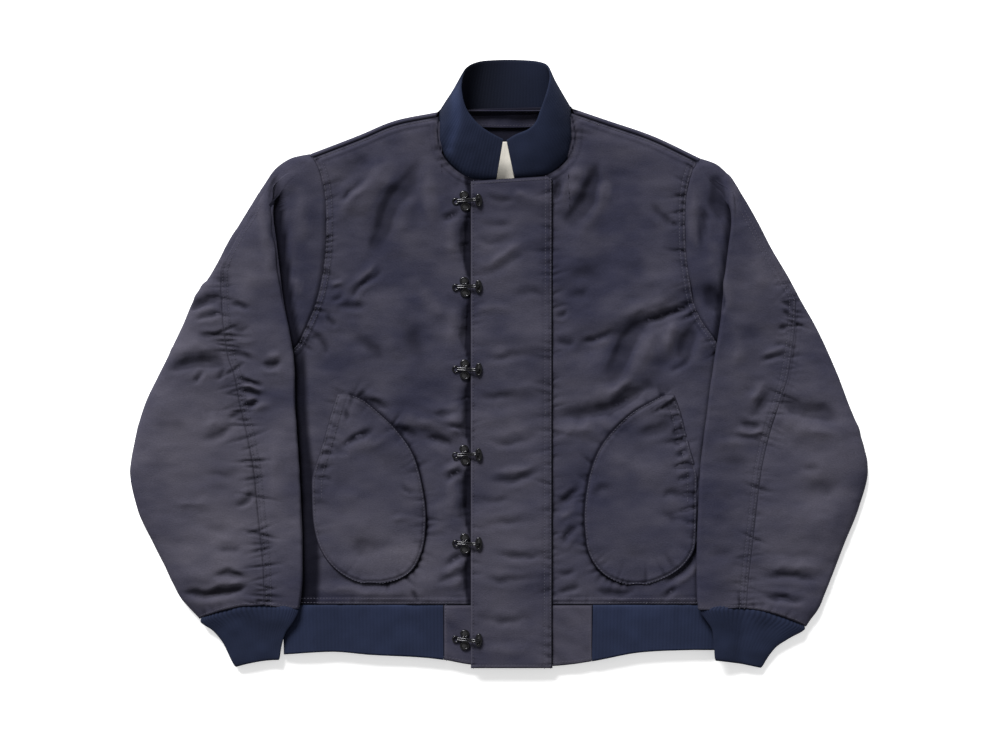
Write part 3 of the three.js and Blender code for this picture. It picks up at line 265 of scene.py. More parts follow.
# Places round the neck from the right front to the left: seam x, y, z, top edge x, y, z, bulge
COLLAR = [
    (-4, 214.6, 19.4, 3.5, 259, 27, 2),
    (-17, 215, 19.4, -7, 264, 30, 3),
    (-33.5, 218, 19.4, -19, 271, 34, 4),
    (-49.5, 228, 19.2, -30, 281, 37, 5),
    (-62.2, 243.5, 19, -38, 292, 39, 5),
    (-68, 263, 18.5, -42.5, 305, 40, 5),
    (-68, 281, 16.5, -44.5, 319, 38, 4),
    (-67.5, 294.4, 11, -42, 331, 32, 3),
    (-50, 295, 4, -33.5, 342, 22, 1),
    (-25, 294.6, 2.8, -16, 348, 11, 0),
    (6, 295.2, 2.8, 10, 349.5, 7, 0),
    (37, 296.2, 2.8, 36, 348, 11, 0),
    (63, 298, 4, 53.5, 342, 22, 1),
    (79.5, 298.4, 11, 57, 331, 32, 3),
    (80.5, 284.5, 16.5, 55, 319, 38, 4),
    (81.2, 265, 18.7, 51, 305, 40, 5),
    (77.5, 245, 19, 46, 291, 39, 5),
    (65.5, 230, 19.2, 41, 278, 37, 5),
    (48, 220.4, 19.4, 32, 269.5, 34, 4),
    (29, 217.2, 19.4, 18, 264, 30, 3),
    (16, 216.6, 19.4, 7.5, 258, 27, 2),
]

# A soft upright fold in the collar, at the wearer's right
COLLAR_RIDGE = [(-52, 322), (-50, 290), (-58, 250)]

# Hooks and eyes: y, and the turn of each in degrees
CLASPS = [(189, 3), (90, 2), (-5, -3), (-103, 4), (-205, -2), (-316, -4)]
HOOK_X = -40
EYE_X = -24.5

# Creases: points along each, half-width, rise, and how much steeper one flank is
CREASES = {
    "front_right": [
        (
            [(-88, 244), (-108, 215), (-130, 182), (-140, 154), (-152, 130), (-164, 120)],
            10, -3.0, 0.3,
        ),
        ([(-116, 242), (-146, 212), (-172, 184), (-198, 158)], 11, 2.2, 0),
        ([(-150, 216), (-166, 204), (-188, 186)], 4, -1.6, 0.3),
        ([(-192, 236), (-172, 232), (-150, 240)], 6, -0.7, 0),
        ([(-79, 240), (-80, 200), (-76, 150)], 8, 1.5, 0),
        ([(-178, 70), (-164, 88), (-150, 99), (-132, 113)], 3.4, -1.9, 0.3),
        ([(-170, 82), (-154, 104), (-138, 120)], 5, 1.0, 0),
        ([(-192, 66), (-172, 69), (-148, 64)], 4, -1.5, 0),
        ([(-200, 60), (-194, 51), (-186, 44)], 2.6, -1.5, 0),
        ([(-198, 74), (-180, 80)], 3, -1.1, 0),
        ([(-197, 92), (-178, 94)], 3, 1.2, 0),
        ([(-222, 28), (-210, 32), (-202, 24), (-200, 8)], 4, -1.4, 0),
        ([(-176, 36), (-150, 22), (-128, -6)], 9, -1.2, 0),
        ([(-120, 60), (-96, 24), (-80, -16)], 12, -1.1, 0),
        ([(-104, 108), (-80, 74), (-62, 40)], 10, 1.1, 0),
        ([(-70, 164), (-58, 172), (-46, 180)], 3.6, -1.5, 0.2),
        ([(-170, -30), (-150, -42), (-122, -53)], 4, -2.4, 0.4),
        ([(-126, -72), (-104, -79), (-92, -84)], 4.2, -2.4, 0.3),
        ([(-86, -80), (-70, -87), (-50, -95)], 4.4, -2.4, 0.4),
        ([(-118, -58), (-88, -68), (-58, -72)], 6, 1.8, 0),
        ([(-80, -56), (-62, -57), (-44, -52)], 3, -1.3, 0),
        ([(-62, -72), (-50, -70), (-37, -73)], 3.4, -1.7, 0),
        ([(-66, -136), (-54, -126), (-38, -120)], 4, -1.8, 0.2),
        ([(-64, -124), (-52, -117), (-38, -110)], 4, 1.4, 0),
        ([(-72, -150), (-70, -180), (-64, -200)], 9, 1.2, 0),
        ([(-66, -234), (-52, -225), (-38, -214)], 4, -1.7, 0.3),
        ([(-78, -254), (-60, -244), (-38, -235)], 4.4, -1.5, 0.2),
        ([(-70, -244), (-54, -235), (-38, -226)], 4, 1.2, 0),
        ([(-101, -258), (-98, -268), (-92, -274)], 3, -1.6, 0),
        ([(-238, -262), (-180, -259), (-120, -264), (-72, -258)], 6, 1.2, 0),
        ([(-236, -40), (-240, -110), (-238, -200)], 10, -2.4, 0),
        ([(-38, 178), (-37, 146), (-38, 104)], 8, -4.2, 0.2),
        ([(-38, 78), (-37, 48), (-38, 8)], 8, -4.0, 0.2),
        ([(-38, -18), (-37, -50), (-38, -90)], 7, -3.4, 0.2),
        ([(-38, -116), (-37, -158), (-38, -192)], 9, -4.2, 0.2),
        ([(-38, -218), (-37, -246), (-38, -272)], 7, -3.6, 0.2),
    ],
    "front_left": [
        ([(226, 72), (200, 62), (180, 56), (160, 49)], 3.4, -3.4, 0.4),
        ([(176, 54), (154, 44), (144, 30), (136, 12), (126, -4), (114, -18)], 10, -3.0, 0.4),
        ([(214, 82), (188, 73), (158, 62), (132, 46)], 8, 2.0, 0),
        ([(134, 40), (112, 30), (88, 26)], 3.2, -1.3, 0.3),
        ([(90, 28), (76, 27), (63, 31)], 4, -1.4, 0),
        ([(116, 240), (108, 216), (98, 192), (82, 172), (66, 160)], 9, -3.4, 0.2),
        ([(92, 226), (84, 204), (70, 188)], 5, -0.8, 0),
        ([(82, 232), (86, 208), (80, 188)], 7, 2.0, 0),
        ([(66, 216), (65, 200), (64, 186)], 4, -2.4, 0),
        ([(118, 236), (119, 205), (114, 176)], 7, 1.6, 0),
        ([(220, 50), (214, 26), (204, -2)], 8, -2.6, 0.2),
        ([(222, 16), (210, 2), (192, -9)], 3, -1.2, 0.4),
        ([(206, 54), (196, 34), (190, 8)], 6, 1.7, 0),
        ([(184, 44), (166, 10), (150, -18)], 9, 1.7, 0),
        ([(170, 190), (186, 172), (206, 158)], 5, -1.3, 0),
        ([(198, 164), (206, 158)], 2.4, -1.4, 0),
        ([(108, 84), (92, 81), (74, 84)], 5, -1.1, 0),
        ([(80, 62), (70, 58), (62, 61)], 3, -1.3, 0),
        ([(70, 96), (96, 106), (126, 100)], 9, -0.9, 0),
        ([(150, 140), (176, 110), (182, 80)], 14, 0.9, 0),
        (
            [(63, -61), (84, -58), (114, -56), (134, -51), (150, -37), (170, -27), (194, -19)],
            7.5, -3.4, 0.5,
        ),
        ([(66, -76), (86, -74), (112, -72)], 7, 1.6, 0),
        ([(100, -30), (130, -30), (158, -12)], 6, 1.4, 0),
        ([(64, -160), (80, -152), (94, -138)], 3.6, -2.0, 0.3),
        ([(66, -207), (80, -196), (93, -182)], 3.8, -2.0, 0.3),
        ([(66, -178), (78, -170), (90, -160)], 5, 1.1, 0),
        ([(62, -262), (78, -259), (94, -251)], 3.4, -1.7, 0.3),
        ([(104, -256), (130, -264), (160, -257)], 3.2, -1.6, 0),
        ([(188, -270), (194, -262), (206, -256)], 3.4, -1.7, 0.2),
        ([(64, -242), (76, -240), (88, -236)], 3, -1.1, 0),
        ([(236, -60), (243, -120), (238, -180)], 9, -1.8, 0),
        ([(184, -251), (206, -238), (220, -220), (228, -200)], 4.5, -4.0, 0),
    ],
    "placket": [
        ([(14, 199), (30, 195), (44, 188)], 4, 1.1, 0),
        ([(-24, 198), (0, 190), (26, 194)], 3.6, -1.0, 0.2),
        ([(-32, 110), (-4, 120), (34, 146)], 4.5, 1.3, 0),
        ([(-30, 102), (0, 109), (30, 130)], 4, -0.6, 0),
        ([(-30, 166), (-4, 160), (22, 163)], 4, -0.9, 0),
        ([(-28, 146), (-8, 140), (14, 146)], 3.6, -0.8, 0),
        ([(10, 80), (34, 84), (56, 78)], 4, -0.9, 0),
        ([(-30, 60), (-8, 66), (18, 62)], 4, 0.9, 0),
        ([(-30, 12), (0, 8), (30, 14), (56, 10)], 4, -1.0, 0),
        ([(-20, -20), (10, -26), (50, -20)], 5, 0.9, 0),
        ([(-30, -34), (-8, -38), (20, -34)], 3.4, -0.9, 0),
        ([(-24, -84), (0, -90), (30, -84), (56, -76)], 4.5, -1.1, 0.2),
        ([(-17, -132), (20, -132), (46, -123), (57, -122)], 4, -1.4, 0.4),
        ([(-10, -124), (20, -122), (44, -114)], 4, 1.1, 0),
        ([(-30, -152), (-10, -156), (16, -152)], 3.4, -0.8, 0),
        ([(-26, -185), (10, -180), (50, -178)], 4, -0.9, 0.2),
        ([(-12, -215), (23, -221), (58, -213)], 4, -1.3, 0.4),
        ([(-30, -244), (10, -248), (57, -242)], 4, -1.1, 0.2),
        ([(-30, -290), (16, -294), (56, -286)], 5, -1.0, 0.2),
        ([(-22, -326), (10, -330), (40, -326)], 5, 0.8, 0),
    ],
    "pocket_right": [
        ([(-188, -96), (-164, -84), (-140, -69)], 3.4, -2.2, 0.3),
        ([(-206, -88), (-196, -86), (-186, -89)], 2.4, -1.4, 0),
        ([(-208, -104), (-198, -101), (-188, -103)], 2.4, -1.4, 0),
        ([(-210, -118), (-199, -117), (-190, -119)], 2.4, -1.3, 0),
        ([(-211, -132), (-200, -130), (-190, -133)], 2.4, -1.3, 0),
        ([(-184, -108), (-152, -93), (-126, -84)], 5, 1.3, 0),
        ([(-114, -136), (-106, -142), (-96, -148)], 2.6, -1.3, 0),
        ([(-128, -179), (-112, -175), (-98, -177)], 3, 1.0, 0),
        ([(-205, -140), (-180, -150), (-150, -146)], 10, 1.1, 0),
        ([(-190, -200), (-150, -206), (-110, -196)], 12, -1.0, 0),
        ([(-180, -48), (-176, -58), (-174, -70)], 2.6, -1.0, 0),
    ],
    "pocket_left": [
        ([(200, -62), (176, -76), (150, -78)], 5, -1.1, 0),
        ([(194, -66), (201, -62), (208, -57)], 2.6, -1.8, 0),
        ([(195, -80), (204, -76), (212, -72)], 2.6, -2.0, 0),
        ([(196, -93), (206, -89), (214, -84)], 2.6, -1.8, 0),
        ([(198, -106), (208, -102), (217, -98)], 2.6, -2.0, 0),
        ([(200, -120), (210, -116), (220, -111)], 2.6, -1.8, 0),
        ([(202, -134), (212, -130), (222, -126)], 2.6, -1.6, 0),
        ([(210, -150), (196, -148), (184, -154)], 4, -1.2, 0),
        ([(206, -186), (196, -176), (180, -164)], 6, -1.1, 0),
        ([(210, -110), (180, -122), (140, -116)], 10, 1.0, 0),
        ([(176, -206), (158, -214), (138, -208)], 9, -0.4, 0),
        ([(104, -150), (118, -142), (132, -144)], 4, -0.9, 0),
    ],
    "sleeve_right": [
        ([(-360, 62), (-344, 70), (-328, 76), (-318, 78)], 5, -3.4, 0.4),
        ([(-314, 73), (-300, 66), (-286, 63)], 3.2, -2.2, 0.4),
        ([(-356, 52), (-336, 56), (-316, 60)], 3.4, -1.8, 0.2),
        ([(-352, 88), (-330, 92), (-312, 86)], 6, 1.6, 0),
        ([(-350, 34), (-330, 33), (-318, 32)], 2.8, -1.0, 0),
        ([(-316, 48), (-300, 42), (-284, 44)], 4, -1.2, 0),
        ([(-312, 30), (-296, 26), (-276, 30)], 3.6, 1.2, 0),
        ([(-318, 12), (-300, 14), (-286, 8), (-280, 0)], 3, -1.4, 0),
        ([(-392, -8), (-366, 1), (-338, 4), (-308, -2)], 7, -2.6, 0.2),
        ([(-384, 16), (-356, 22), (-326, 18)], 8, 1.5, 0),
        ([(-352, -24), (-344, -12), (-336, -4)], 3, -1.6, 0),
        ([(-328, -20), (-322, -10), (-318, -2)], 3, -1.3, 0),
        ([(-304, -18), (-288, -20), (-270, -28)], 2.8, -2.2, 0.3),
        ([(-304, -31), (-286, -32), (-272, -38)], 2.6, -2.0, 0.3),
        ([(-300, -25), (-284, -26), (-268, -33)], 2.6, 1.6, 0),
        ([(-298, -48), (-286, -46), (-274, -39)], 3, -2.2, 0.3),
        ([(-300, -39), (-286, -39), (-272, -44)], 2.6, 1.3, 0),
        ([(-314, -62), (-304, -58), (-294, -56)], 2.8, -1.6, 0),
        ([(-286, -52), (-272, -46), (-258, -46)], 5, 1.3, 0),
        ([(-272, 5), (-262, -2), (-250, 4)], 3.6, -2.4, 0.2),
        ([(-270, 14), (-260, 10), (-250, 14)], 5, 1.4, 0),
        ([(-350, -86), (-322, -80), (-298, -62)], 5, -1.2, 0),
        ([(-344, -70), (-318, -62)], 6, 1.3, 0),
        ([(-350, -124), (-314, -126), (-288, -118)], 5, -0.8, 0),
        ([(-306, -166), (-292, -156), (-284, -142)], 3.4, -1.6, 0),
        ([(-376, -160), (-352, -158), (-326, -162)], 5, 1.2, 0),
        ([(-402, -64), (-378, -70), (-352, -66)], 12, -0.7, 0),
        ([(-350, -184), (-326, -190), (-306, -186)], 6, -0.6, 0),
        ([(-330, -208), (-312, -212), (-294, -208)], 5, -1.1, 0),
        ([(-336, -243), (-314, -240), (-284, -247)], 3.4, -1.8, 0.3),
        ([(-336, -250), (-308, -250), (-284, -254)], 4, 1.8, 0),
        ([(-370, -262), (-334, -265), (-304, -259), (-284, -253)], 4.2, -4.0, 0.5),
        ([(-262, -60), (-258, -120), (-256, -190)], 10, 1.2, 0),
        ([(-276, 130), (-290, 90), (-288, 50)], 12, 1.2, 0),
        ([(-260, 236), (-260, 200), (-252, 130), (-243, 60)], 7, -5.0, 0.2),
        ([(-232, 214), (-228, 170), (-226, 130)], 7, 3.2, 0),
        ([(-238, 104), (-234, 88), (-230, 74)], 6, 3.0, 0),
    ],
    "sleeve_left": [
        ([(242, 226), (250, 200), (250, 160)], 9, -5.0, 0),
        ([(234, 186), (232, 160), (229, 132)], 4, -3.2, 0),
        ([(236, 94), (244, 78), (246, 58)], 8, -4.4, 0),
        ([(222, 214), (222, 170), (224, 120)], 5, 2.6, 0),
        ([(244, 150), (246, 126), (240, 106)], 7, 1.6, 0),
        ([(322, 72), (332, 70), (342, 68)], 3, -2.0, 0.2),
        ([(324, 60), (336, 58)], 3, -1.6, 0),
        ([(318, 44), (330, 42)], 3, -1.4, 0),
        ([(296, 2), (312, 9), (338, 18)], 3, -1.2, 0.3),
        ([(312, 22), (330, 23), (344, 18)], 3, -1.6, 0),
        ([(300, 14), (318, 17), (336, 28)], 4, 1.4, 0),
        ([(276, -62), (296, -54), (308, -36), (320, -24)], 6, -1.3, 0.2),
        ([(284, -44), (296, -34), (306, -16)], 6, 1.6, 0),
        ([(266, -72), (286, -78), (308, -74)], 3.4, 1.8, 0),
        ([(270, -64), (288, -69), (304, -66)], 3.6, -1.4, 0),
        ([(306, -38), (346, -50), (400, -60)], 9, -2.0, 0.2),
        ([(316, -66), (352, -74), (404, -84)], 9, 1.6, 0),
        ([(240, -108), (270, -112), (302, -108)], 10, -0.7, 0),
        ([(236, -92), (262, -90), (290, -94)], 7, 1.0, 0),
        ([(344, -114), (356, -119), (372, -120)], 4, -0.8, 0),
        ([(404, -130), (370, -140), (340, -134)], 12, -1.1, 0),
        ([(246, -148), (262, -152), (276, -160)], 8, -0.5, 0),
        ([(396, -170), (356, -178), (320, -170)], 14, 1.1, 0),
        ([(294, -245), (330, -243), (376, -249)], 4, -1.5, 0.4),
        ([(292, -230), (330, -230), (382, -234)], 6, 1.6, 0),
        ([(296, -266), (330, -270), (356, -273)], 3.4, -2.2, 0.3),
        ([(230, -216), (250, -218), (276, -214)], 6, -0.5, 0),
        ([(288, 150), (300, 110), (306, 70)], 12, 1.2, 0),
        ([(266, 60), (274, 20), (268, -20)], 9, 1.0, 0),
    ],
    "back": [
        ([(-150, 200), (-90, 120), (-110, 20)], 20, 2.2, 0),
        ([(130, 190), (90, 90), (120, -10)], 22, 2.0, 0),
        ([(-60, 230), (0, 215), (70, 232)], 14, 1.6, 0),
        ([(-190, -40), (-110, -60), (-40, -40)], 16, 1.8, 0),
        ([(40, -90), (120, -120), (200, -100)], 18, 1.9, 0),
        ([(-160, -180), (-60, -200), (60, -185)], 15, 1.6, 0),
        ([(-210, -262), (-80, -256), (60, -264), (200, -256)], 9, 1.5, 0),
    ],
}

# Where the cloth is washed paler, or has kept its dye: x, y, reach across and up, amount
WASHED_PLACES = [
    (-335, -98, 85, 150, 0.5),
    (-300, 110, 50, 60, 0.14),
    (-235, 150, 20, 90, -0.25),
    (238, 150, 20, 80, -0.15),
    (-310, -213, 60, 60, 0.3),
    (-340, 60, 60, 50, 0.12),
    (-330, -5, 50, 22, -0.3),
    (355, -132, 60, 130, 0.42),
    (310, 110, 60, 80, 0.12),
    (300, -190, 50, 60, 0.25),
    (330, 90, 60, 60, 0.12),
    (312, -20, 50, 40, -0.15),
    (-138, -201, 60, 70, 0.42),
    (-92, -236, 60, 40, 0.2),
    (-160, 180, 60, 40, 0.12),
    (-190, 60, 50, 50, -0.12),
    (-90, 20, 70, 60, 0.12),
    (11, -155, 60, 140, 0.28),
    (20, 60, 60, 60, 0.1),
    (138, 132, 110, 80, -0.16),
    (150, -20, 60, 50, 0.1),
    (170, -150, 60, 90, -0.05),
    (100, -290, 50, 50, 0.35),
]
USUAL_FADE = 0.2


def lerp(a, b, share):
    return a + (b - a) * share


def smooth(share):
    held = np.clip(share, 0, 1)
    return held * held * (3 - 2 * held)


def dome(distance, reach):
    """How far a rounded edge has risen, from 0 at the edge to 1 at its reach."""
    return np.sqrt(1 - (1 - np.clip(distance / reach, 0, 1)) ** 2)


def hermite(start, end, leave, arrive, t):
    """A cubic from start to end with the given slopes there, at shares t."""
    first = start * (2 * t**3 - 3 * t**2 + 1) + leave * (t**3 - 2 * t**2 + t)
    return first + end * (3 * t**2 - 2 * t**3) + arrive * (t**3 - t**2)


def bell(distance, middle, width):
    """1 at the middle distance, falling off smoothly over the width on both sides."""
    return np.exp(-(((distance - middle) / width) ** 2))


def grooves(off, rows, width=1.1):
    """The lines that rows of stitches press into cloth, at distances from a seam."""
    return sum(bell(off, row, width) for row in rows)


def column(rows, key, value):
    """One column of a table as a smooth function of another."""
    at = np.array([row[key] for row in rows], float)
    held = np.array([row[value] for row in rows], float)
    if at[0] > at[-1]:
        at, held = at[::-1], held[::-1]
    lows = np.maximum(np.arange(len(at)) - 1, 0)
    highs = np.minimum(np.arange(len(at)) + 1, len(at) - 1)
    slopes = (held[highs] - held[lows]) / (at[highs] - at[lows])

    def value_at(x):
        x = np.clip(x, at[0], at[-1])
        i = np.clip(np.searchsorted(at, x, side="right") - 1, 0, len(at) - 2)
        span = at[i + 1] - at[i]
        leave, arrive = slopes[i] * span, slopes[i + 1] * span
        return hermite(held[i], held[i + 1], leave, arrive, (x - at[i]) / span)

    return value_at


def spline(points, per=12):
    """A dense smooth line through points, by the centripetal Catmull-Rom rule."""
    p = np.asarray(points, float)
    p = np.vstack([2 * p[0] - p[1], p, 2 * p[-1] - p[-2]])
    t = (np.arange(per) / per)[:, None]
    parts = []
    for a, b, c, d in zip(p, p[1:], p[2:], p[3:]):
        k1, k2, k3 = (max(np.linalg.norm(v), 1e-9) ** 0.5 for v in (b - a, c - b, d - c))
        leave = ((b - a) / k1 - (c - a) / (k1 + k2) + (c - b) / k2) * k2
        arrive = ((c - b) / k2 - (d - b) / (k2 + k3) + (d - c) / k3) * k2
        parts.append(hermite(b, c, leave, arrive, t))
    return np.vstack([*parts, p[-2][None]])


def lengths(line):
    return np.r_[0, np.cumsum(np.linalg.norm(np.diff(line, axis=0), axis=1))]


def places_at(line, run, at):
    """The places of a line at distances along it, where run is the distance to each point."""
    return np.stack([np.interp(at, run, line[:, k]) for k in range(line.shape[1])], -1)


def along(line, shares):
    """The places at shares of the way along a line."""
    run = lengths(line)
    return places_at(line, run, np.asarray(shares) * run[-1])


def beside(line, x, y):
    """For each place, its signed distance from a line and how far along the line it is."""
    best = np.full(np.shape(x), np.inf)
    signed, way = np.zeros_like(best), np.zeros_like(best)
    run = lengths(line)
    for a, b, done in zip(line, line[1:], run):
        dx, dy = b[0] - a[0], b[1] - a[1]
        span = max(math.hypot(dx, dy), 1e-9)
        t = np.clip(((x - a[0]) * dx + (y - a[1]) * dy) / span**2, 0, 1)
        ex, ey = x - a[0] - dx * t, y - a[1] - dy * t
        off = np.hypot(ex, ey)
        near = off < best
        best = np.where(near, off, best)
        signed = np.where(near, np.where(dx * ey - dy * ex < 0, -off, off), signed)
        way = np.where(near, done + t * span, way)
    return signed, way, run[-1]


def off_line(line, x, y):
    """How far each place is from a line."""
    return np.abs(beside(line, x, y)[0])


def noise(x, y, size, seed):
    """Smooth noise from -1 to 1 over the plane, its bumps about size across."""
    table = np.random.default_rng(seed).uniform(-1, 1, (64, 64))
    u, v = np.broadcast_arrays(np.asarray(x, float) / size, np.asarray(y, float) / size)
    i, j = np.floor(u).astype(int), np.floor(v).astype(int)
    s, t = smooth(u - i), smooth(v - j)
    near = lerp(table[i % 64, j % 64], table[(i + 1) % 64, j % 64], s)
    far = lerp(table[i % 64, (j + 1) % 64], table[(i + 1) % 64, (j + 1) % 64], s)
    return lerp(near, far, t)


def fold_relief(folds, x, y):
    """The sum of the broad folds at a place, as the frame has them."""
    total = 0
    for start, end, width, rise in folds:
        dx, dy = end[0] - start[0], end[1] - start[1]
        t = np.clip(((x - start[0]) * dx + (y - start[1]) * dy) / (dx * dx + dy * dy), 0, 1)
        off = np.hypot(x - start[0] - dx * t, y - start[1] - dy * t) / width
        total = total + rise * np.exp(-off * off)
    return total


# A crease's course wanders by this much, over bumps of this size, from this seed
WANDER_ACROSS = (2.4, 17, 7)
WANDER_UP = ((2.0, 13, 8), (0.8, 6, 9))


def crease_relief(creases, x, y):
    """The sum of the listed creases, each tapering at its ends and steeper on one flank."""
    total = np.zeros(np.shape(x))
    amount, size, seed = WANDER_ACROSS
    moved_x = x + amount * noise(x, y, size, seed)
    moved_y = y + sum(amount * noise(x, y, size, seed) for amount, size, seed in WANDER_UP)
    for points, width, rise, lean in creases:
        off, way, run = beside(spline(points, 5), moved_x, moved_y)
        flank = width * np.where(off > 0, 1 + lean, 1 - lean)
        uneven = 1 + 0.35 * noise(way, rise * 10, 11, 5)
        fade = smooth(np.minimum(way, run - way) / (0.4 * run))
        trough = np.exp(-(np.abs(off / flank) ** 1.6))
        swell = 0.3 * bell(np.abs(off), 2.1 * width, width)
        total += rise * uneven * fade * (trough - swell)
    return total


def puckers(line, x, y, rise, reach, pitch, seed):
    """Short uneven gathers across a seam, each with its own depth, length, width and slant."""
    off, way, _ = beside(line, x, y)
    table = np.random.default_rng(seed).uniform(0, 1, (5, 512))
    first = np.floor(way / pitch).astype(int)
    total = np.zeros_like(off)
    for step in (-1, 0, 1):
        depth, length, width, slant, shift = table[:, (first + step) % 512]
        middle = (first + step + 0.2 + 0.6 * shift) * pitch + 0.7 * (slant - 0.5) * off
        across = (way - middle) / (pitch * lerp(0.2, 0.36, width))
        run = off / (reach * lerp(0.45, 1.5, length))
        total -= rise * 1.7 * depth**1.4 * np.exp(-across * across - run * run)
    return total


def gathers(x, y, seed, rows):
    """The puckers of several seams. Each row is a line, and their rise, reach and pitch."""
    total = 0
    for number, (line, rise, reach, pitch) in enumerate(rows):
        total = total + puckers(line, x, y, rise, reach, pitch, seed + 3 + 4 * number)
    return total


def crumple(x, y, seed):
    """The slight unevenness of soft cloth everywhere."""
    broad = 1.1 * noise(x + 0.4 * y, y * 1.6, 58, seed)
    middle = 0.55 * noise(x, y * 1.9, 23, seed + 1)
    return broad + middle + 0.2 * noise(x, y * 1.7, 10, seed + 2)


def washed(x, y):
    """How washed out the cloth is at a place, from 0 to 1."""
    total = USUAL_FADE + 0.22 * noise(x, y * 1.3, 47, 301) + 0.1 * noise(x, y * 1.6, 17, 302)
    for centre_x, centre_y, reach_x, reach_y, amount in WASHED_PLACES:
        off = ((x - centre_x) / reach_x) ** 2 + ((y - centre_y) / reach_y) ** 2
        total = total + amount * np.exp(-off)
    return np.clip(total, 0, 1)


SIDE_X = {"right": column(BODY_SIDES, 0, 1), "left": column(BODY_SIDES, 0, 2)}
FOLD_Y = {side: column(SHOULDER_FOLDS[side], 0, 1) for side in SIDES}
FOLD_LINE = {side: along(spline(SHOULDER_FOLDS[side], 24), np.linspace(0, 1, 17)) for side in SIDES}
body_height = column(BODY_HEIGHTS, 0, 1)
hem_edge_y = column(HEM_EDGE, 0, 1)


def edge_share(x, y, side_reach, shoulder_reach):
    """How far the body has risen from its edges, from 0 to 1."""
    share = 1
    for side in SIDES:
        inside = (SIDE_X[side](y) - x) * OUT[side]
        at_pit = (SIDE_X[side](ARMPIT_Y) - x) * OUT[side]
        from_side = np.where(y <= ARMPIT_Y, np.maximum(0, inside), np.hypot(at_pit, y - ARMPIT_Y))
        from_fold = np.abs(beside(FOLD_LINE[side], x, y)[0])
        from_fold = np.where(y > FOLD_Y[side](x), 0, from_fold)
        share = share * dome(from_side, side_reach) * dome(from_fold, shoulder_reach)
    return share


def front_z(x, y):
    """The height of the fronts' solid over the floor."""
    x, y = np.asarray(x, float), np.asarray(y, float)
    height = body_height(y) - MID_Z + fold_relief(BODY_FOLDS, x, y)
    return MID_Z + height * edge_share(x, y, 36, 24)


def back_z(x, y):
    """The height of the back's under face, flat on the floor and rising at its edges."""
    x, y = np.asarray(x, float), np.asarray(y, float)
    return UNDER_Z * (1 - edge_share(x, y, 14, 14))


def over_body_z(side, x, y):
    """The height of what lies over the body's side, off the floor outside it."""
    inside = (SIDE_X[side](y) - x) * OUT[side]
    return (body_height(y) + 1) * smooth((inside + 26) / 40)


def graded(length, zone, fine, coarse, multiple, ends=(True, True)):
    """Shares of a length, with fine gaps in a zone at its ends and coarse ones between, so many
    that their count is a multiple."""
    t = np.linspace(0, 1, 2001)
    gaps = [t if ends[0] else 1 + t, 1 - t if ends[1] else 2 - t]
    step = lerp(fine, coarse, smooth(np.minimum(*gaps) * length / zone))
    total = np.r_[0, np.cumsum(1 / step[1:])] * length / 2000
    count = multiple * math.ceil(total[-1] / multiple)
    return np.interp(np.linspace(0, total[-1], count + 1), total, t)


def refine(grid, splits):
    """A grid with each gap between its rows split, by curves that never overshoot."""
    gaps = np.diff(grid, axis=0)
    same = gaps[:-1] * gaps[1:] > 0
    total = np.where(same, gaps[:-1] + gaps[1:], 1)
    middle = np.where(same, 2 * gaps[:-1] * gaps[1:] / total, 0)
    slopes = np.concatenate([gaps[:1], middle, gaps[-1:]])
    parts = []
    for i, count in enumerate(splits):
        t = (np.arange(count) / count).reshape(-1, *[1] * (grid.ndim - 1))
        parts.append(hermite(grid[i], grid[i + 1], slopes[i], slopes[i + 1], t))
    return np.concatenate([*parts, grid[-1:]])


def refine_columns(grid, splits):
    return refine(grid.swapaxes(0, 1), splits).swapaxes(0, 1)


def grid_normals(grid, turn, ring=False):
    """Unit normals of a grid. turn is 1 where across times down faces out."""
    if ring:
        across = np.roll(grid, -1, axis=1) - np.roll(grid, 1, axis=1)
    else:
        across = np.gradient(grid, axis=1)
    normals = np.cross(across, np.gradient(grid, axis=0)) * turn
    return normals / np.maximum(np.linalg.norm(normals, axis=-1, keepdims=True), 1e-9)


def patch(s, t, bottom, top, start, end):
    """A grid of points between four borders, by Coons's rule."""
    s, t = s[None, :, None], t[:, None, None]
    ruled = lerp(bottom[None], top[None], t)
    sideways = lerp(start[:, None], end[:, None], s)
    corners = lerp(lerp(start[0], end[0], s), lerp(start[-1], end[-1], s), t)
    return ruled + sideways - corners


def wall_faces(rows, columns, ring, block):
    """Faces of a closed wall: a fine outer face, an inner one in blocks of cells, and rims.
    A vertex of the inner face is the outer one's number plus rows times columns."""
    far = rows * columns
    wide = columns if ring else columns - 1

    def at(i, j):
        return i * columns + j % columns

    i, j = np.meshgrid(np.arange(rows - 1), np.arange(wide), indexing="ij")
    quads = [at(i, j), at(i, j + 1), at(i + 1, j + 1), at(i + 1, j)]
    faces = np.stack([q.ravel() for q in quads], 1).tolist()
    high, broad = block
    for a in range(0, rows - 1, high):
        for b in range(0, wide, broad):
            c, d = a + high, b + broad
            low = range(b, d) if a == 0 else [b]
            right = range(a, c) if d == wide and not ring else [a]
            top = range(d, b, -1) if c == rows - 1 else [d]
            left = range(c, a, -1) if b == 0 and not ring else [c]
            loop = [at(a, n) for n in low] + [at(n, d) for n in right]
            loop += [at(c, n) for n in top] + [at(n, b) for n in left]
            faces.append([far + n for n in reversed(loop)])
    border = [(at(0, n + 1), at(0, n)) for n in range(wide)]
    border += [(at(rows - 1, n), at(rows - 1, n + 1)) for n in range(wide)]
    if not ring:
        border += [(at(n, 0), at(n + 1, 0)) for n in range(rows - 1)]
        border += [(at(n + 1, wide), at(n, wide)) for n in range(rows - 1)]
    faces += [[p, q, far + q, far + p] for p, q in border]
    return faces


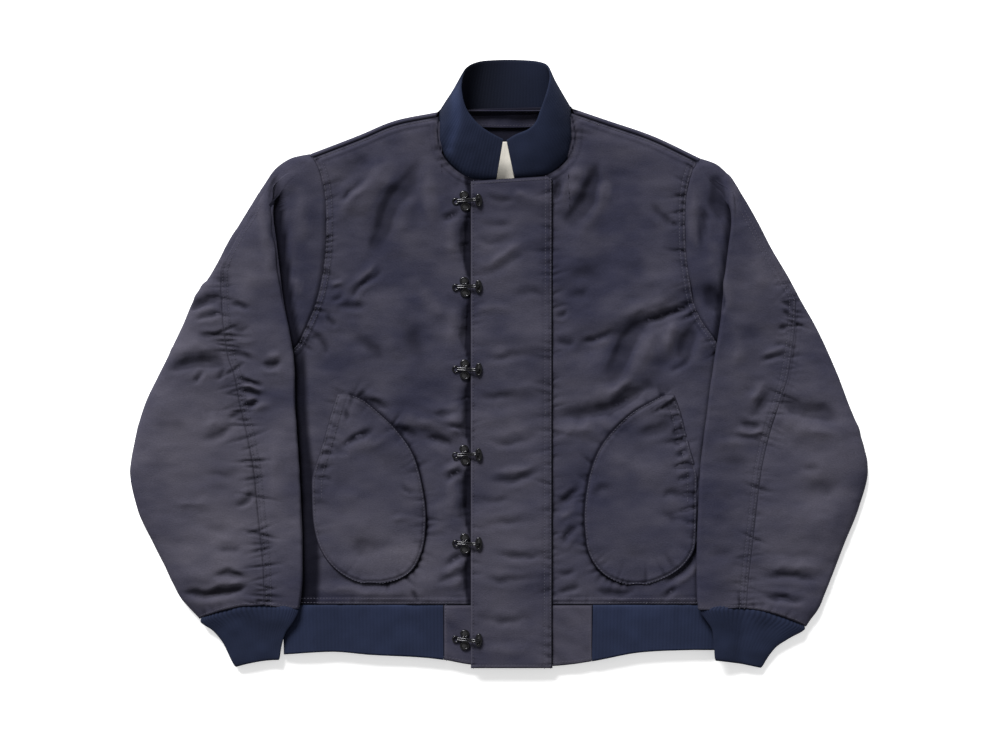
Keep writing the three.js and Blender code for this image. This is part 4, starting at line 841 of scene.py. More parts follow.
def new_object(name, points, faces, edges=()):
    """A mesh object from drawing millimetres, smooth shaded."""
    mesh = bpy.data.meshes.new(name)
    placed = (np.asarray(points, float) + FRAME_SHIFT) * MM
    mesh.from_pydata(placed.tolist(), list(edges), faces)
    mesh.shade_smooth()
    thing = bpy.data.objects.new(name, mesh)
    bpy.context.scene.collection.objects.link(thing)
    return thing


def add_values(thing, name, values):
    layer = thing.data.attributes.new(name, "FLOAT", "POINT")
    layer.data.foreach_set("value", np.asarray(values, np.float32))


def wall(name, outer, inner, values, ring=False, block=(3, 3)):
    """A closed wall between two like grids, with the named values of the outer one."""
    rows, columns = outer.shape[:2]
    faces = wall_faces(rows, columns, ring, block)
    points = np.vstack([outer.reshape(-1, 3), inner.reshape(-1, 3)])
    used = np.zeros(len(points), bool)
    used[[n for face in faces for n in face]] = True
    numbers = np.cumsum(used) - 1
    first = [[points[n] for n in face[:3]] for face in faces[: (rows - 1) * (columns - 1)]]
    corners = np.array(first)
    towards = np.cross(corners[:, 1] - corners[:, 0], corners[:, 2] - corners[:, 0])
    inwards = (inner - outer).reshape(-1, 3)[[face[0] for face in faces[: len(first)]]]
    if (towards * inwards).sum() > 0:
        faces = [face[::-1] for face in faces]
    thing = new_object(name, points[used], [[int(numbers[n]) for n in face] for face in faces])
    for key, grid in values.items():
        both = np.concatenate([np.ravel(grid), np.ravel(grid)])
        add_values(thing, key, both[used])
    return thing


def sheet_wall(name, outer, normals, thickness, values, **options):
    inner = outer - normals * np.asarray(thickness)[..., None]
    return wall(name, outer, inner, values, **options)


def finish_piece(thing, node, material=None):
    """Gives a piece its material and body, and hides the solid it stands for."""
    if material:
        thing.data.materials.append(material)
    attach(thing, "root")
    if node:
        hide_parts(node)
    return thing


def upper_cloth(node, grid, thickness, values, material, kind="cloth", slot="shell", **options):
    """A laid piece of cloth, from the grid of its upper face."""
    normals = grid_normals(grid, 1)
    normals *= np.sign(normals[..., 2:])
    thing = sheet_wall(f"{node}_{kind}", grid, normals, thickness, values, **options)
    return finish_piece(thing, node, material)


def fade_rub_highlight_and_shade(x, y, height, rise=1.9):
    """Values for the shader: the washed share, rubbing with painted highlight where the cloth
    stands proud, and painted shade where it is deep.
    """
    rub_and_highlight_share, painted_shade_and_tone = smooth(height / rise), smooth(-height / rise)
    return {"fade": washed(x, y), "rub_and_highlight": 0.65 * rub_and_highlight_share, "painted_shade_and_tone": 0.55 * painted_shade_and_tone}


def add_to(values, key, amount):
    """Adds an amount to one of the shader's values and holds it from 0 to 1."""
    values[key] = np.clip(values[key] + amount, 0, 1)


def mark_edges(values, distance, strength=1.0):
    """Paints shade in the line right at a seam, and rubbing with painted highlight on the ridge
    beside it.
    """
    add_to(values, "painted_shade_and_tone", strength * bell(distance, 0, 0.9))
    add_to(values, "rub_and_highlight", 0.55 * strength * bell(distance, 2.4, 1.3))
    return values


# Shader groups


COLOUR = "NodeSocketColor"
NUMBER = "NodeSocketFloat"


def add_node(tree, kind, inputs=None, **settings):
    made = tree.nodes.new(kind)
    for key, value in settings.items():
        setattr(made, key, value)
    for key, value in (inputs or {}).items():
        if isinstance(value, bpy.types.NodeSocket):
            tree.links.new(value, made.inputs[key])
        else:
            made.inputs[key].default_value = value
    return made


def mix_colours(tree, share, a, b, blend="MIX"):
    kinds = {"data_type": "RGBA", "blend_type": blend}
    return add_node(tree, "ShaderNodeMix", {0: share, 6: a, 7: b}, **kinds).outputs[2]


def maths(tree, operation, a, b=0.5, clamp=False):
    made = add_node(tree, "ShaderNodeMath", {0: a, 1: b}, operation=operation, use_clamp=clamp)
    return made.outputs[0]


def spread(tree, value, low, high):
    made = add_node(tree, "ShaderNodeMapRange", {0: value, 1: low, 2: high}, clamp=True)
    return made.outputs[0]


def shader_group(name, inputs, outputs):
    """A new group, the sockets of what it is given and the sockets of what it puts out."""
    tree = bpy.data.node_groups.new(name, "ShaderNodeTree")
    for way, sockets in (("INPUT", inputs), ("OUTPUT", outputs)):
        for label, kind in sockets.items():
            tree.interface.new_socket(label, in_out=way, socket_type=kind)
    given, out = tree.nodes.new("NodeGroupInput"), tree.nodes.new("NodeGroupOutput")
    return tree, given.outputs, out.inputs


def object_noise(tree, scale, detail=2.0, stretch=(1, 1, 1)):
    place = add_node(tree, "ShaderNodeTexCoord").outputs["Object"]
    held = add_node(tree, "ShaderNodeMapping", {"Vector": place, "Scale": stretch})
    settings = {"Vector": held.outputs[0], "Scale": scale, "Detail": detail}
    return add_node(tree, "ShaderNodeTexNoise", settings).outputs[0]


def attribute(tree, name):
    made = add_node(tree, "ShaderNodeAttribute", attribute_type="GEOMETRY", attribute_name=name)
    return made.outputs["Fac"]


DARKER_SPECK = (0.88, 0.88, 0.88, 1)
LIGHTER_SPECK = (1.12, 1.12, 1.12, 1)
# The knit's painted shade colour, also used for the cuffs' even darker tone
SHADED_AND_DARKER_KNIT = (0.003, 0.004, 0.009, 1)
THREADS = 1100


def dye_and_shade_group():
    """Washed cloth: its dye is uneven, paler with rubbing and painted highlight where it stands
    proud, and darkened toward a painted shade colour where deep.
    """
    tree, given, out = shader_group(
        "washed_dye_and_painted_shade",
        {"Dye": COLOUR, "Faded": COLOUR, "Shaded_dye": COLOUR},
        {"Color": COLOUR, "Nap": NUMBER},
    )
    patchy = maths(tree, "SUBTRACT", object_noise(tree, 34, 4.0, (1, 2.2, 1)), 0.5)
    grain = object_noise(tree, 520, 2.0, (1, 1.8, 1))
    share = maths(tree, "ADD", attribute(tree, "fade"), maths(tree, "MULTIPLY", patchy, 0.5), True)
    colour = mix_colours(tree, share, given["Dye"], given["Faded"])
    # Rubbing and painted highlight where the cloth stands proud, toward the faded colour
    rub_and_highlight_share = maths(tree, "MULTIPLY", attribute(tree, "rub_and_highlight"), 0.55)
    colour = mix_colours(tree, rub_and_highlight_share, colour, given["Faded"])
    # Painted shade in creases, at seams and in shaded places, toward the shade colour
    held = maths(tree, "MULTIPLY", attribute(tree, "painted_shade_and_tone"), 0.92)
    colour = mix_colours(tree, held, colour, given["Shaded_dye"])
    speck = mix_colours(tree, spread(tree, grain, 0.3, 0.75), DARKER_SPECK, LIGHTER_SPECK)
    colour = mix_colours(tree, 1.0, colour, speck, "MULTIPLY")
    tree.links.new(colour, out["Color"])
    tree.links.new(grain, out["Nap"])
    return tree


def weave_group():
    """The height of a tight corded weave, its threads crossing."""
    tree, given, out = shader_group("corded_weave", {"Threads": NUMBER}, {"Height": NUMBER})
    place = add_node(tree, "ShaderNodeTexCoord").outputs["Object"]
    heights = []
    for axis in ("X", "Y"):
        settings = {"Vector": place, "Scale": given["Threads"], "Distortion": 0.6}
        wave = add_node(tree, "ShaderNodeTexWave", settings, bands_direction=axis)
        heights.append(wave.outputs[1])
    crossing = maths(tree, "MULTIPLY", heights[0], heights[1])
    tree.links.new(crossing, out["Height"])
    return tree


def knit_group():
    """Rib knit: painted highlight on each rib's crown and painted shade between, with a faint cross
    texture.
    """
    tree, given, out = shader_group(
        "rib_knit",
        {"Yarn": COLOUR, "Shaded_between": COLOUR, "Paler": COLOUR},
        {"Color": COLOUR, "Height": NUMBER},
    )
    rib = attribute(tree, "rib")
    cloudy = spread(tree, object_noise(tree, 30, 3.0), 0.4, 0.75)
    # Painted highlight on the rib crowns and painted shade between them
    colour = mix_colours(tree, rib, given["Shaded_between"], given["Yarn"])
    colour = mix_colours(tree, maths(tree, "MULTIPLY", cloudy, 0.3), colour, given["Paler"])
    # Rubbing and painted highlight where the knit stands proud
    rub_and_highlight_share = maths(tree, "MULTIPLY", attribute(tree, "rub_and_highlight"), 0.5)
    colour = mix_colours(tree, rub_and_highlight_share, colour, given["Paler"])
    # Painted shade, and the cuffs' even darker tone
    colour = mix_colours(tree, attribute(tree, "painted_shade_and_tone"), colour, SHADED_AND_DARKER_KNIT)
    fuzz = object_noise(tree, 900, 3.0)
    tree.links.new(colour, out["Color"])
    tree.links.new(fuzz, out["Height"])
    return tree


def principled(name, **constants):
    material = bpy.data.materials.new(name)
    material.use_nodes = True
    tree = material.node_tree
    shader = tree.nodes["Principled BSDF"]
    for key, value in constants.items():
        shader.inputs[key.replace("_", " ")].default_value = value
    return material, tree, shader


def use_group(tree, group, inputs=None):
    made = tree.nodes.new("ShaderNodeGroup")
    made.node_tree = group
    for key, value in (inputs or {}).items():
        made.inputs[key].default_value = value
    return made


def bumped(tree, shader, height, distance, strength=1.0, under=None):
    settings = {"Height": height, "Distance": distance, "Strength": strength}
    if under:
        settings["Normal"] = under
    made = add_node(tree, "ShaderNodeBump", settings)
    tree.links.new(made.outputs[0], shader.inputs["Normal"])
    return made.outputs[0]


def cached(make):
    """Keeps the one material that a maker returns for each name."""

    def get(name, *rest):
        return bpy.data.materials.get(name) or make(name, *rest)

    return get


def group_for(make, name):
    return bpy.data.node_groups.get(name) or make()


@cached
def cloth_material(name, dye, faded, shade_tint):
    material, tree, shader = principled(name, Roughness=0.85, Specular_IOR_Level=0.04)
    colours = {"Dye": (*dye, 1), "Faded": (*faded, 1), "Shaded_dye": (*shade_tint, 1)}
    dyed = use_group(tree, group_for(dye_and_shade_group, "washed_dye_and_painted_shade"), colours)
    woven = use_group(tree, group_for(weave_group, "corded_weave"), {"Threads": THREADS})
    tree.links.new(dyed.outputs["Color"], shader.inputs["Base Color"])
    normal = bumped(tree, shader, dyed.outputs["Nap"], 0.0005, 0.5)
    bumped(tree, shader, woven.outputs["Height"], 0.00012, 0.5, normal)
    return material


@cached
def knit_material(name, yarn):
    material, tree, shader = principled(name, Roughness=0.9, Specular_IOR_Level=0.12)
    colours = {
        "Yarn": (*yarn, 1),
        "Shaded_between": (*[0.5 * c for c in yarn], 1),
        "Paler": (*[1.7 * c for c in yarn], 1),
    }
    knitted = use_group(tree, group_for(knit_group, "rib_knit"), colours)
    tree.links.new(knitted.outputs["Color"], shader.inputs["Base Color"])
    bumped(tree, shader, knitted.outputs["Height"], 0.0004, 0.6)
    return material


@cached
def metal_material(name, enamel):
    return principled(
        name, Base_Color=(*enamel, 1), Metallic=0.85, Roughness=0.24, Coat_Weight=0.5
    )[0]


@cached
def satin_material(name, colour):
    material, tree, shader = principled(
        name, Base_Color=(*colour, 1), Roughness=0.38, Sheen_Weight=0.3, Anisotropic=0.5
    )
    bumped(tree, shader, object_noise(tree, 160, 2.0, (6, 1, 1)), 0.0006, 0.5)
    return material


@cached
def thread_material(name, colour):
    return principled(name, Base_Color=(*colour, 1), Roughness=0.8)[0]


# Sewing


# How many cells in from an edge a row of stitches may run, and its height over the cloth
FURTHEST_CELL = 80
STITCH_LIFT = 0.1


def stitch_tree():
    """Runs short stitches along the edges of a mesh."""
    tree = bpy.data.node_groups.new("running_stitch", "GeometryNodeTree")
    sockets = {
        "Geometry": "NodeSocketGeometry",
        "Pitch": NUMBER,
        "Length": NUMBER,
        "Thread": NUMBER,
        "Seed": "NodeSocketInt",
        "Material": "NodeSocketMaterial",
    }
    for name, kind in sockets.items():
        tree.interface.new_socket(name, in_out="INPUT", socket_type=kind)
    tree.interface.new_socket("Geometry", in_out="OUTPUT", socket_type="NodeSocketGeometry")
    given, out = tree.nodes.new("NodeGroupInput").outputs, tree.nodes.new("NodeGroupOutput")
    curve = add_node(tree, "GeometryNodeMeshToCurve", {"Mesh": given["Geometry"]})
    every = {"Curve": curve.outputs[0], "Length": given["Pitch"]}
    spots = add_node(tree, "GeometryNodeCurveToPoints", every, mode="LENGTH").outputs
    bead = add_node(tree, "GeometryNodeMeshUVSphere", {"Segments": 5, "Rings": 4, "Radius": 1.0})
    half = maths(tree, "MULTIPLY", given["Length"], 0.5)
    chance = {2: 0.75, 3: 1.1, "Seed": given["Seed"]}
    uneven = add_node(tree, "FunctionNodeRandomValue", chance, data_type="FLOAT")
    reach = maths(tree, "MULTIPLY", half, uneven.outputs[1])
    across = {0: given["Thread"], 1: given["Thread"], 2: reach}
    size = add_node(tree, "ShaderNodeCombineXYZ", across)
    repeat = {
        "Points": spots["Points"],
        "Instance": bead.outputs["Mesh"],
        "Rotation": spots["Rotation"],
        "Scale": size.outputs[0],
    }
    placed = add_node(tree, "GeometryNodeInstanceOnPoints", repeat)
    real = add_node(tree, "GeometryNodeRealizeInstances", {0: placed.outputs[0]})
    coloured = {"Geometry": real.outputs[0], "Material": given["Material"]}
    done = add_node(tree, "GeometryNodeSetMaterial", coloured)
    tree.links.new(done.outputs[0], out.inputs[0])
    return tree


def stitches(node, settings, seed, *rows):
    """One mesh of the stitches along rows. Each is a grid, its edge, how far in the row runs and
    between which shares of the edge."""
    points, edges = [], []
    for row in rows:
        line = in_from_edge(*row)
        start = len(points)
        points += list(line)
        edges += [(start + n, start + n + 1) for n in range(len(line) - 1)]
    thing = new_object(f"{node}_stitches", points, [], edges)
    tree = group_for(stitch_tree, "running_stitch")
    modifier = thing.modifiers.new("running_stitch", "NODES")
    modifier.node_group = tree
    given = {
        "Pitch": settings.stitch_pitch,
        "Length": settings.stitch_length,
        "Thread": settings.thread_radius,
        "Seed": seed,
        "Material": thread_material("sewing_thread", settings.thread_colour[:]),
    }
    for item in tree.interface.items_tree:
        if item.in_out == "INPUT" and item.name in given:
            modifier[item.identifier] = given[item.name]
    thing.update_tag()
    shown = thing.evaluated_get(bpy.context.evaluated_depsgraph_get())
    mesh = bpy.data.meshes.new_from_object(shown)
    thing.modifiers.clear()
    line_mesh, thing.data = thing.data, mesh
    bpy.data.meshes.remove(line_mesh)
    mesh.shade_smooth()
    return finish_piece(thing, None)


def in_from_edge(grid, edge, distance, start=0.0, end=1.0):
    """A line of points at a distance in from one edge of a grid, just proud of it."""
    turned = {
        "first_column": grid,
        "last_column": grid[:, ::-1],
        "first_row": grid.swapaxes(0, 1),
        "last_row": grid[::-1].swapaxes(0, 1),
    }[edge]
    last = len(turned) - 1
    picked = turned[int(start * last) : int(end * last) + 1, :FURTHEST_CELL]
    line = np.array([along(row, [distance / lengths(row)[-1]])[0] for row in picked])
    line[:, 2] += STITCH_LIFT
    return line


# Pieces


def panel_side(side, tip=None):
    """A body panel's side: up the flank, round the armhole and on to the shoulder tip."""
    ys = np.linspace(HEM_Y, ARMPIT_Y, 12)
    flank = [(float(SIDE_X[side](y)), y) for y in ys]
    in_by = OUT[side] * SEAM_GAP / 2
    armhole = [(row[0] - in_by, row[1]) for row in SLEEVES[side][:ARMPIT_ROW][::-1]]
    return spline(flank + armhole + ([tip] if tip else []), 12)


def beside_fold(side, drop):
    """A line a drop in from the shoulder fold, from the neck to the tip."""
    line = along(spline(SHOULDER_FOLDS[side], 24), np.linspace(0, 1, 61))
    way = np.gradient(line, axis=0)
    way /= np.linalg.norm(way, axis=1, keepdims=True)
    return line + drop * OUT[side] * np.stack([way[:, 1], -way[:, 0]], 1)


# The shoulder seam's share of a front's upper border, and the armhole's start up its side
SEAM_SHARE = 0.58
ARMHOLE_SHARE = 12 / 22
FRONT_SEED = {"right": 40, "left": 60}


def overlaid(x, y):
    """1 under the placket or a pocket, 0 elsewhere."""
    inside = np.minimum(x - PLACKET_RIGHT, PLACKET_LEFT - x)
    share = smooth(inside / 3 + 0.3)
    for side in SIDES:
        rows = POCKETS[side]
        outer, inner = column(rows, 0, 1)(y), column(rows, 0, 2)(y)
        across = np.minimum((outer - x) * OUT[side], (x - inner) * OUT[side])
        inside = np.minimum(across, np.minimum(rows[0][0] - y, y - rows[-1][0]))
        share = np.maximum(share, smooth(inside / 4))
    return share


def under_flap(x, y):
    """How much painted shade lies beside the placket's free edge, between the clasps that hold it
    down.
    """
    clear = 1
    for clasp_y, _ in CLASPS:
        clear = clear * (1 - bell(y, clasp_y, 15))
    reach = 1.5 + clear * (5 + 2 * noise(x * 0, y, 31, 401))
    return smooth((reach - np.abs(x - PLACKET_RIGHT)) / 4 + 0.5)


def front_panel(side, settings):
    """One front, its grid running up from the hem and across from the side to the placket."""
    front_x = CENTRE_X + OUT[side] * SEAM_GAP / 2
    start_line = panel_side(side)
    step = settings.grid_step / MM
    t = graded(*FRONT_UP, step, 3)
    s = graded(*FRONT_ACROSS, step, 3, (True, False))
    start = along(start_line, t)
    seam = beside_fold(side, SHOULDER_DROP)[::-1]
    neck = spline([*NECKLINES[side][:-1], (front_x, NECKLINES[side][-1][1])], 24)
    top = np.where(
        (s <= SEAM_SHARE)[:, None],
        along(seam, np.clip(s / SEAM_SHARE, 0, 1)),
        along(neck, np.clip((s - SEAM_SHARE) / (1 - SEAM_SHARE), 0, 1)),
    )
    hem_front = np.array([front_x, HEM_Y])
    bottom = lerp(start[0], hem_front, s[:, None])
    end = lerp(hem_front, top[-1], t[:, None])
    top[0] = start[-1]
    plan = patch(s, t, bottom, top, start, end)
    x, y = plan[..., 0], plan[..., 1]
    seed = FRONT_SEED[side]
    pocket_inner = spline([(row[2], row[0]) for row in POCKETS[side]], 4)
    placket_x = PLACKET_LEFT if side == "left" else PLACKET_RIGHT
    gathered = [
        (start_line[start_line[:, 1] >= ARMPIT_Y], 2.3, 12, 6),
        (seam, 0.6, 9, 9),
        (neck, 1.4, 12, 8),
        (np.array([start[0], hem_front]), 0.6, 8, 11),
        (pocket_inner, 1.2, 11, 8),
        (np.array([(row[1], row[0]) for row in POCKETS[side]], float), 0.6, 9, 9),
        (np.array([[placket_x, HEM_Y], [placket_x, 215]]), 1.1, 12, 7.5),
    ]
    creased = settings.fold_depth * crease_relief(CREASES[f"front_{side}"], x, y)
    creased = creased + gathers(x, y, seed, gathered)
    borders = [off_line(line, x, y) for line in (start_line, seam, neck)]
    away = np.minimum.reduce([*borders, y - HEM_Y])
    fine = (creased + crumple(x, y, seed)) * (smooth(away / 4) * 0.8 + 0.2)
    fine *= 1 - overlaid(x, y)
    # Beside a seam: the pressed rows, the ridge between them and the rolled edge
    groove = 0.45 * grooves(away, FRONT_ROWS)
    ridge = 0.45 * bell(away, 6, 2)
    rolled = 1.3 * np.exp(-away / 0.9)
    grid = np.dstack([plan, front_z(x, y) + fine + ridge - groove - rolled])
    values = mark_edges(fade_rub_highlight_and_shade(x, y, creased), away)
    # Painted shade beside the sleeve's fold over the body, under the placket's free edge, in the
    # stitch grooves and as the pocket's shadow along its inner edge
    low = smooth((ARMPIT_Y + 30 - y) / 40)
    dark_reach = 17 + 6 * smooth((-60 - y) / 120) if side == "right" else 5
    painted_shade_mask = low * smooth((dark_reach - off_line(LAP_LINE[side], x, y)) / 8)
    if side == "right":
        painted_shade_mask = painted_shade_mask + under_flap(x, y)
    painted_shade_mask = painted_shade_mask + 0.4 * groove + 0.9 * bell(off_line(pocket_inner, x, y), 0, 2.2)
    add_to(values, "painted_shade_and_tone", painted_shade_mask)
    thickness = settings.cloth_thickness / MM
    thing = upper_cloth(f"front_{side}", grid, thickness, values, shell_cloth(settings))
    sewn = stitches(
        f"front_{side}", settings, seed,
        *[(grid, "first_column", row, ARMHOLE_SHARE, 0.97) for row in FRONT_ROWS],
        *[(grid, "first_row", row, 0.02, 0.78) for row in SHOULDER_ROWS],
        (grid, "last_row", 3, 0.03, 0.56),
    )


def shell_cloth(settings):
    return cloth_material(
        "jungle_cloth", settings.cloth_colour[:], settings.faded_colour[:], settings.shade_colour[:]
    )


# Where the neck starts and ends in the back's upper border, and the rows of its flaps that wrap
# over the shoulders, by their drop from the fold
NECK_SHARES = (0.32, 0.68)
FLAP_DROPS = (0.25, 0.7, 1.4, 2.4, 3.8, 5.7)


def back_panel(settings):
    """The back, with the flaps that wrap over the shoulders."""
    t = graded(*SPACINGS["back_up"])
    s = graded(*SPACINGS["back_across"])
    start, end = (along(panel_side(side, SHOULDER_FOLDS[side][-1]), t) for side in SIDES)
    low, high = NECK_SHARES
    to_right = np.clip(1 - s / low, 0, 1)
    to_left = np.clip((s - high) / (1 - high), 0, 1)
    over_neck = np.clip((s - low) / (high - low), 0, 1)[:, None]
    neck = [np.array(SHOULDER_FOLDS[side][0], float) for side in SIDES]

    def top_line(drop):
        right = along(beside_fold("right", drop), to_right)
        left = along(beside_fold("left", drop), to_left)
        across = lerp(neck[0], neck[1], over_neck) + [0, 0.4 * drop]
        return np.where((s <= low)[:, None], right, np.where((s >= high)[:, None], left, across))

    bottom = lerp(start[0], end[0], s[:, None])
    top = top_line(0)
    top[0], top[-1] = start[-1], end[-1]
    plan = patch(s, t, bottom, top, start, end)
    x, y = plan[..., 0], plan[..., 1]
    fine = crease_relief(CREASES["back"], x, y) + 1.2 * np.abs(noise(x, y, 46, 9))
    fine = np.maximum(fine, 0) * edge_share(x, y, 40, 40)
    grid = np.dstack([plan, back_z(x, y) + fine])
    normals = grid_normals(grid, -1)
    normals *= -np.sign(normals[..., 2:])
    at_neck = (s > low) & (s < high)
    flaps = []
    for drop in FLAP_DROPS:
        place = top_line(drop)
        z = np.where(at_neck, grid[-1, :, 2], front_z(place[:, 0], place[:, 1]))
        rolled = 1.2 * math.exp(-(FLAP_DROPS[-1] - drop) / 0.9) * ~at_neck
        flaps.append(np.column_stack([place, z - rolled]))
    grid = np.concatenate([grid, np.array(flaps)])
    all_normals = grid_normals(grid, -1)
    all_normals[: len(normals) - 1] = normals[:-1]
    x, y = grid[..., 0], grid[..., 1]
    # Painted shade inside the back neck and on the flaps' last rows
    in_neck = (np.abs(x - CENTRE_X) < 80) & (y > 190)
    painted_shade_and_tone = 0.8 * in_neck
    painted_shade_and_tone[-2:] = np.maximum(painted_shade_and_tone[-2:], 0.7)
    values = {"fade": washed(x, y), "rub_and_highlight": np.zeros_like(x), "painted_shade_and_tone": painted_shade_and_tone}
    thickness = settings.cloth_thickness / MM
    thing = sheet_wall("back_cloth", grid, all_normals, thickness, values)
    finish_piece(thing, "back", shell_cloth(settings))


# Shares and distances at which a sleeve section has its points
FLAT_STEPS = (0, 0.3, 0.5, 0.6, 0.7, 0.76, 0.82, 0.88, 0.94, 1)
TOP_STEPS = 6
RIM_STEPS = (0, 0.3, 0.55, 0.76, 0.9, 0.97)
UNDER_STEPS = (1, 4, 8.5, 15)
ARM_STEPS = (24, 12, 5, 0)


def sleeve_section(side, k):
    """The points of one sleeve section: its front panel, then its back panel."""
    arm_x, arm_y, tuck, lap, seam, rim_x, rim_y, height = SLEEVES[side][k]
    out = OUT[side]
    width = abs(rim_x - arm_x)
    slant = math.hypot(rim_x - arm_x, rim_y - arm_y) / width
    # The last sections bow toward the cuff
    arch = 9 * smooth((k - LAST_ROW + 3) / 3)

    def y_at(x):
        share = np.clip((x - arm_x) / (rim_x - arm_x), 0, 1)
        return lerp(arm_y, rim_y, share) + 4 * arch * share * (1 - share)

    # How far in from its rim the sleeve rises to its full height
    reach = lerp(24, 36, min(k / 4, 1))

    def top_z(x):
        y = y_at(x)
        crown = lerp(height, min(height, 19), smooth(out * (x - lap) / 70))
        share = dome(max(0, out * (rim_x - x)) * slant, reach)
        return MID_Z + (crown - MID_Z + fold_relief(SLEEVE_FOLDS[side], x, y)) * share

    start_x = arm_x + out * SEAM_GAP
    below = k > ARMPIT_ROW

    def over_z(x):
        return float(over_body_z(side, x, y_at(x)))

    arm_z = over_z(start_x) if below else float(front_z(arm_x, arm_y))
    strip = arm_z + 0.25
    # The front panel folds over the body at the lap, tucks back under itself above the armpit
    # and comes out again over the strip beside the seam
    lap_under = strip + 0.5 if k < ARMPIT_ROW else over_z(lap)
    roll = max(0.5, (height - lap_under) / 2)
    lap_fold = []
    for degrees in (-90, -45, 0, 45, 90):
        turn = math.radians(degrees)
        lap_fold.append(
            (lap + out * roll * (1 - math.cos(turn)), lap_under + roll * (1 + math.sin(turn)))
        )
    if k < FIRST_LAP_ROW:
        first = []
        for s in FLAT_STEPS:
            x = lerp(start_x, lap, s)
            first.append((x, lerp(arm_z, top_z(x), smooth(s * 2))))
    elif k < ARMPIT_ROW:
        fold = min(max(out * (tuck - lap) / 8, 0), 1)
        folded = [
            (start_x, arm_z),
            (lerp(start_x, tuck, 0.55), strip),
            (tuck - out, strip),
            (tuck, strip + 0.25),
            (tuck - out, strip + 0.5),
            *lap_fold,
        ]
        first = []
        for s, (x, z) in zip(FLAT_STEPS, folded):
            flat_x = lerp(start_x, lap + out * 2, s)
            flat_z = lerp(strip, height, smooth(s * 1.6 - 0.6))
            first.append((lerp(flat_x, x, fold), lerp(flat_z, z, fold)))
    else:
        end_x, end_z = lap_fold[0]
        first = []
        for s in (0, 0.2, 0.4, 0.6, 0.8):
            x = lerp(start_x, end_x, s)
            if below:
                first.append((x, over_z(x)))
            else:
                puff = out * 3.2 * math.sin(math.pi * s)
                first.append((x + puff, lerp(MID_Z, end_z, math.sin(math.pi / 2 * s))))
        first += lap_fold
    lap_end = first[-1][0]
    for n in range(1, TOP_STEPS + 1):
        x = lerp(lap_end, seam, n / TOP_STEPS)
        first.append((x, top_z(x)))
    second = []
    for s in RIM_STEPS:
        x = lerp(seam, rim_x, s)
        second.append((x, top_z(x)))
    second.append((rim_x, MID_Z))
    arm_under = float(back_z(arm_x, arm_y)) if k < ARMPIT_ROW else UNDER_Z
    under_reach = min(14, 0.5 * width * slant)

    def under_z(x):
        rounding = 1 - dome(out * (rim_x - x) * slant, under_reach)
        if below:
            return UNDER_Z * rounding + over_z(x) * (1 - rounding)
        return max(UNDER_Z * rounding, arm_under * (1 - smooth(abs(x - start_x) / 18)))

    last_under = min(UNDER_STEPS[-1], 0.5 * width)
    for s in UNDER_STEPS:
        x = rim_x - out * s * last_under / UNDER_STEPS[-1]
        second.append((x, under_z(x)))
    for s in ARM_STEPS:
        x = start_x + out * min(s, s / ARM_STEPS[0] * 0.4 * width)
        second.append((x, under_z(x)))
    return [[(x, float(y_at(x)), float(z)) for x, z in part] for part in (first, second)]


TUCK_COLUMNS = 26
# Seed, rise of the long seam's gathers, how far up that seam shows and how wide the painted shade
# on the tuck is
SLEEVE_LOOKS = {"right": (80, 1.9, 130, 14), "left": (110, 1.3, 110, 9)}
FRONT_SPLITS = [7, 7, 2, 2, 6, 3, 3, 3, 3] + [5, 5, 5, 5, 6, 9]
BACK_SPLITS = [16, 10, 9, 7, 4, 4, 3, 3, 3, 3, 8, 4, 3, 3]
ROW_SPLITS = [6, 9, 12, 15, 18, 18, 15, 15, 15, 12, 15, 21, 24, 24, 24, 24, 21, 15, 12]


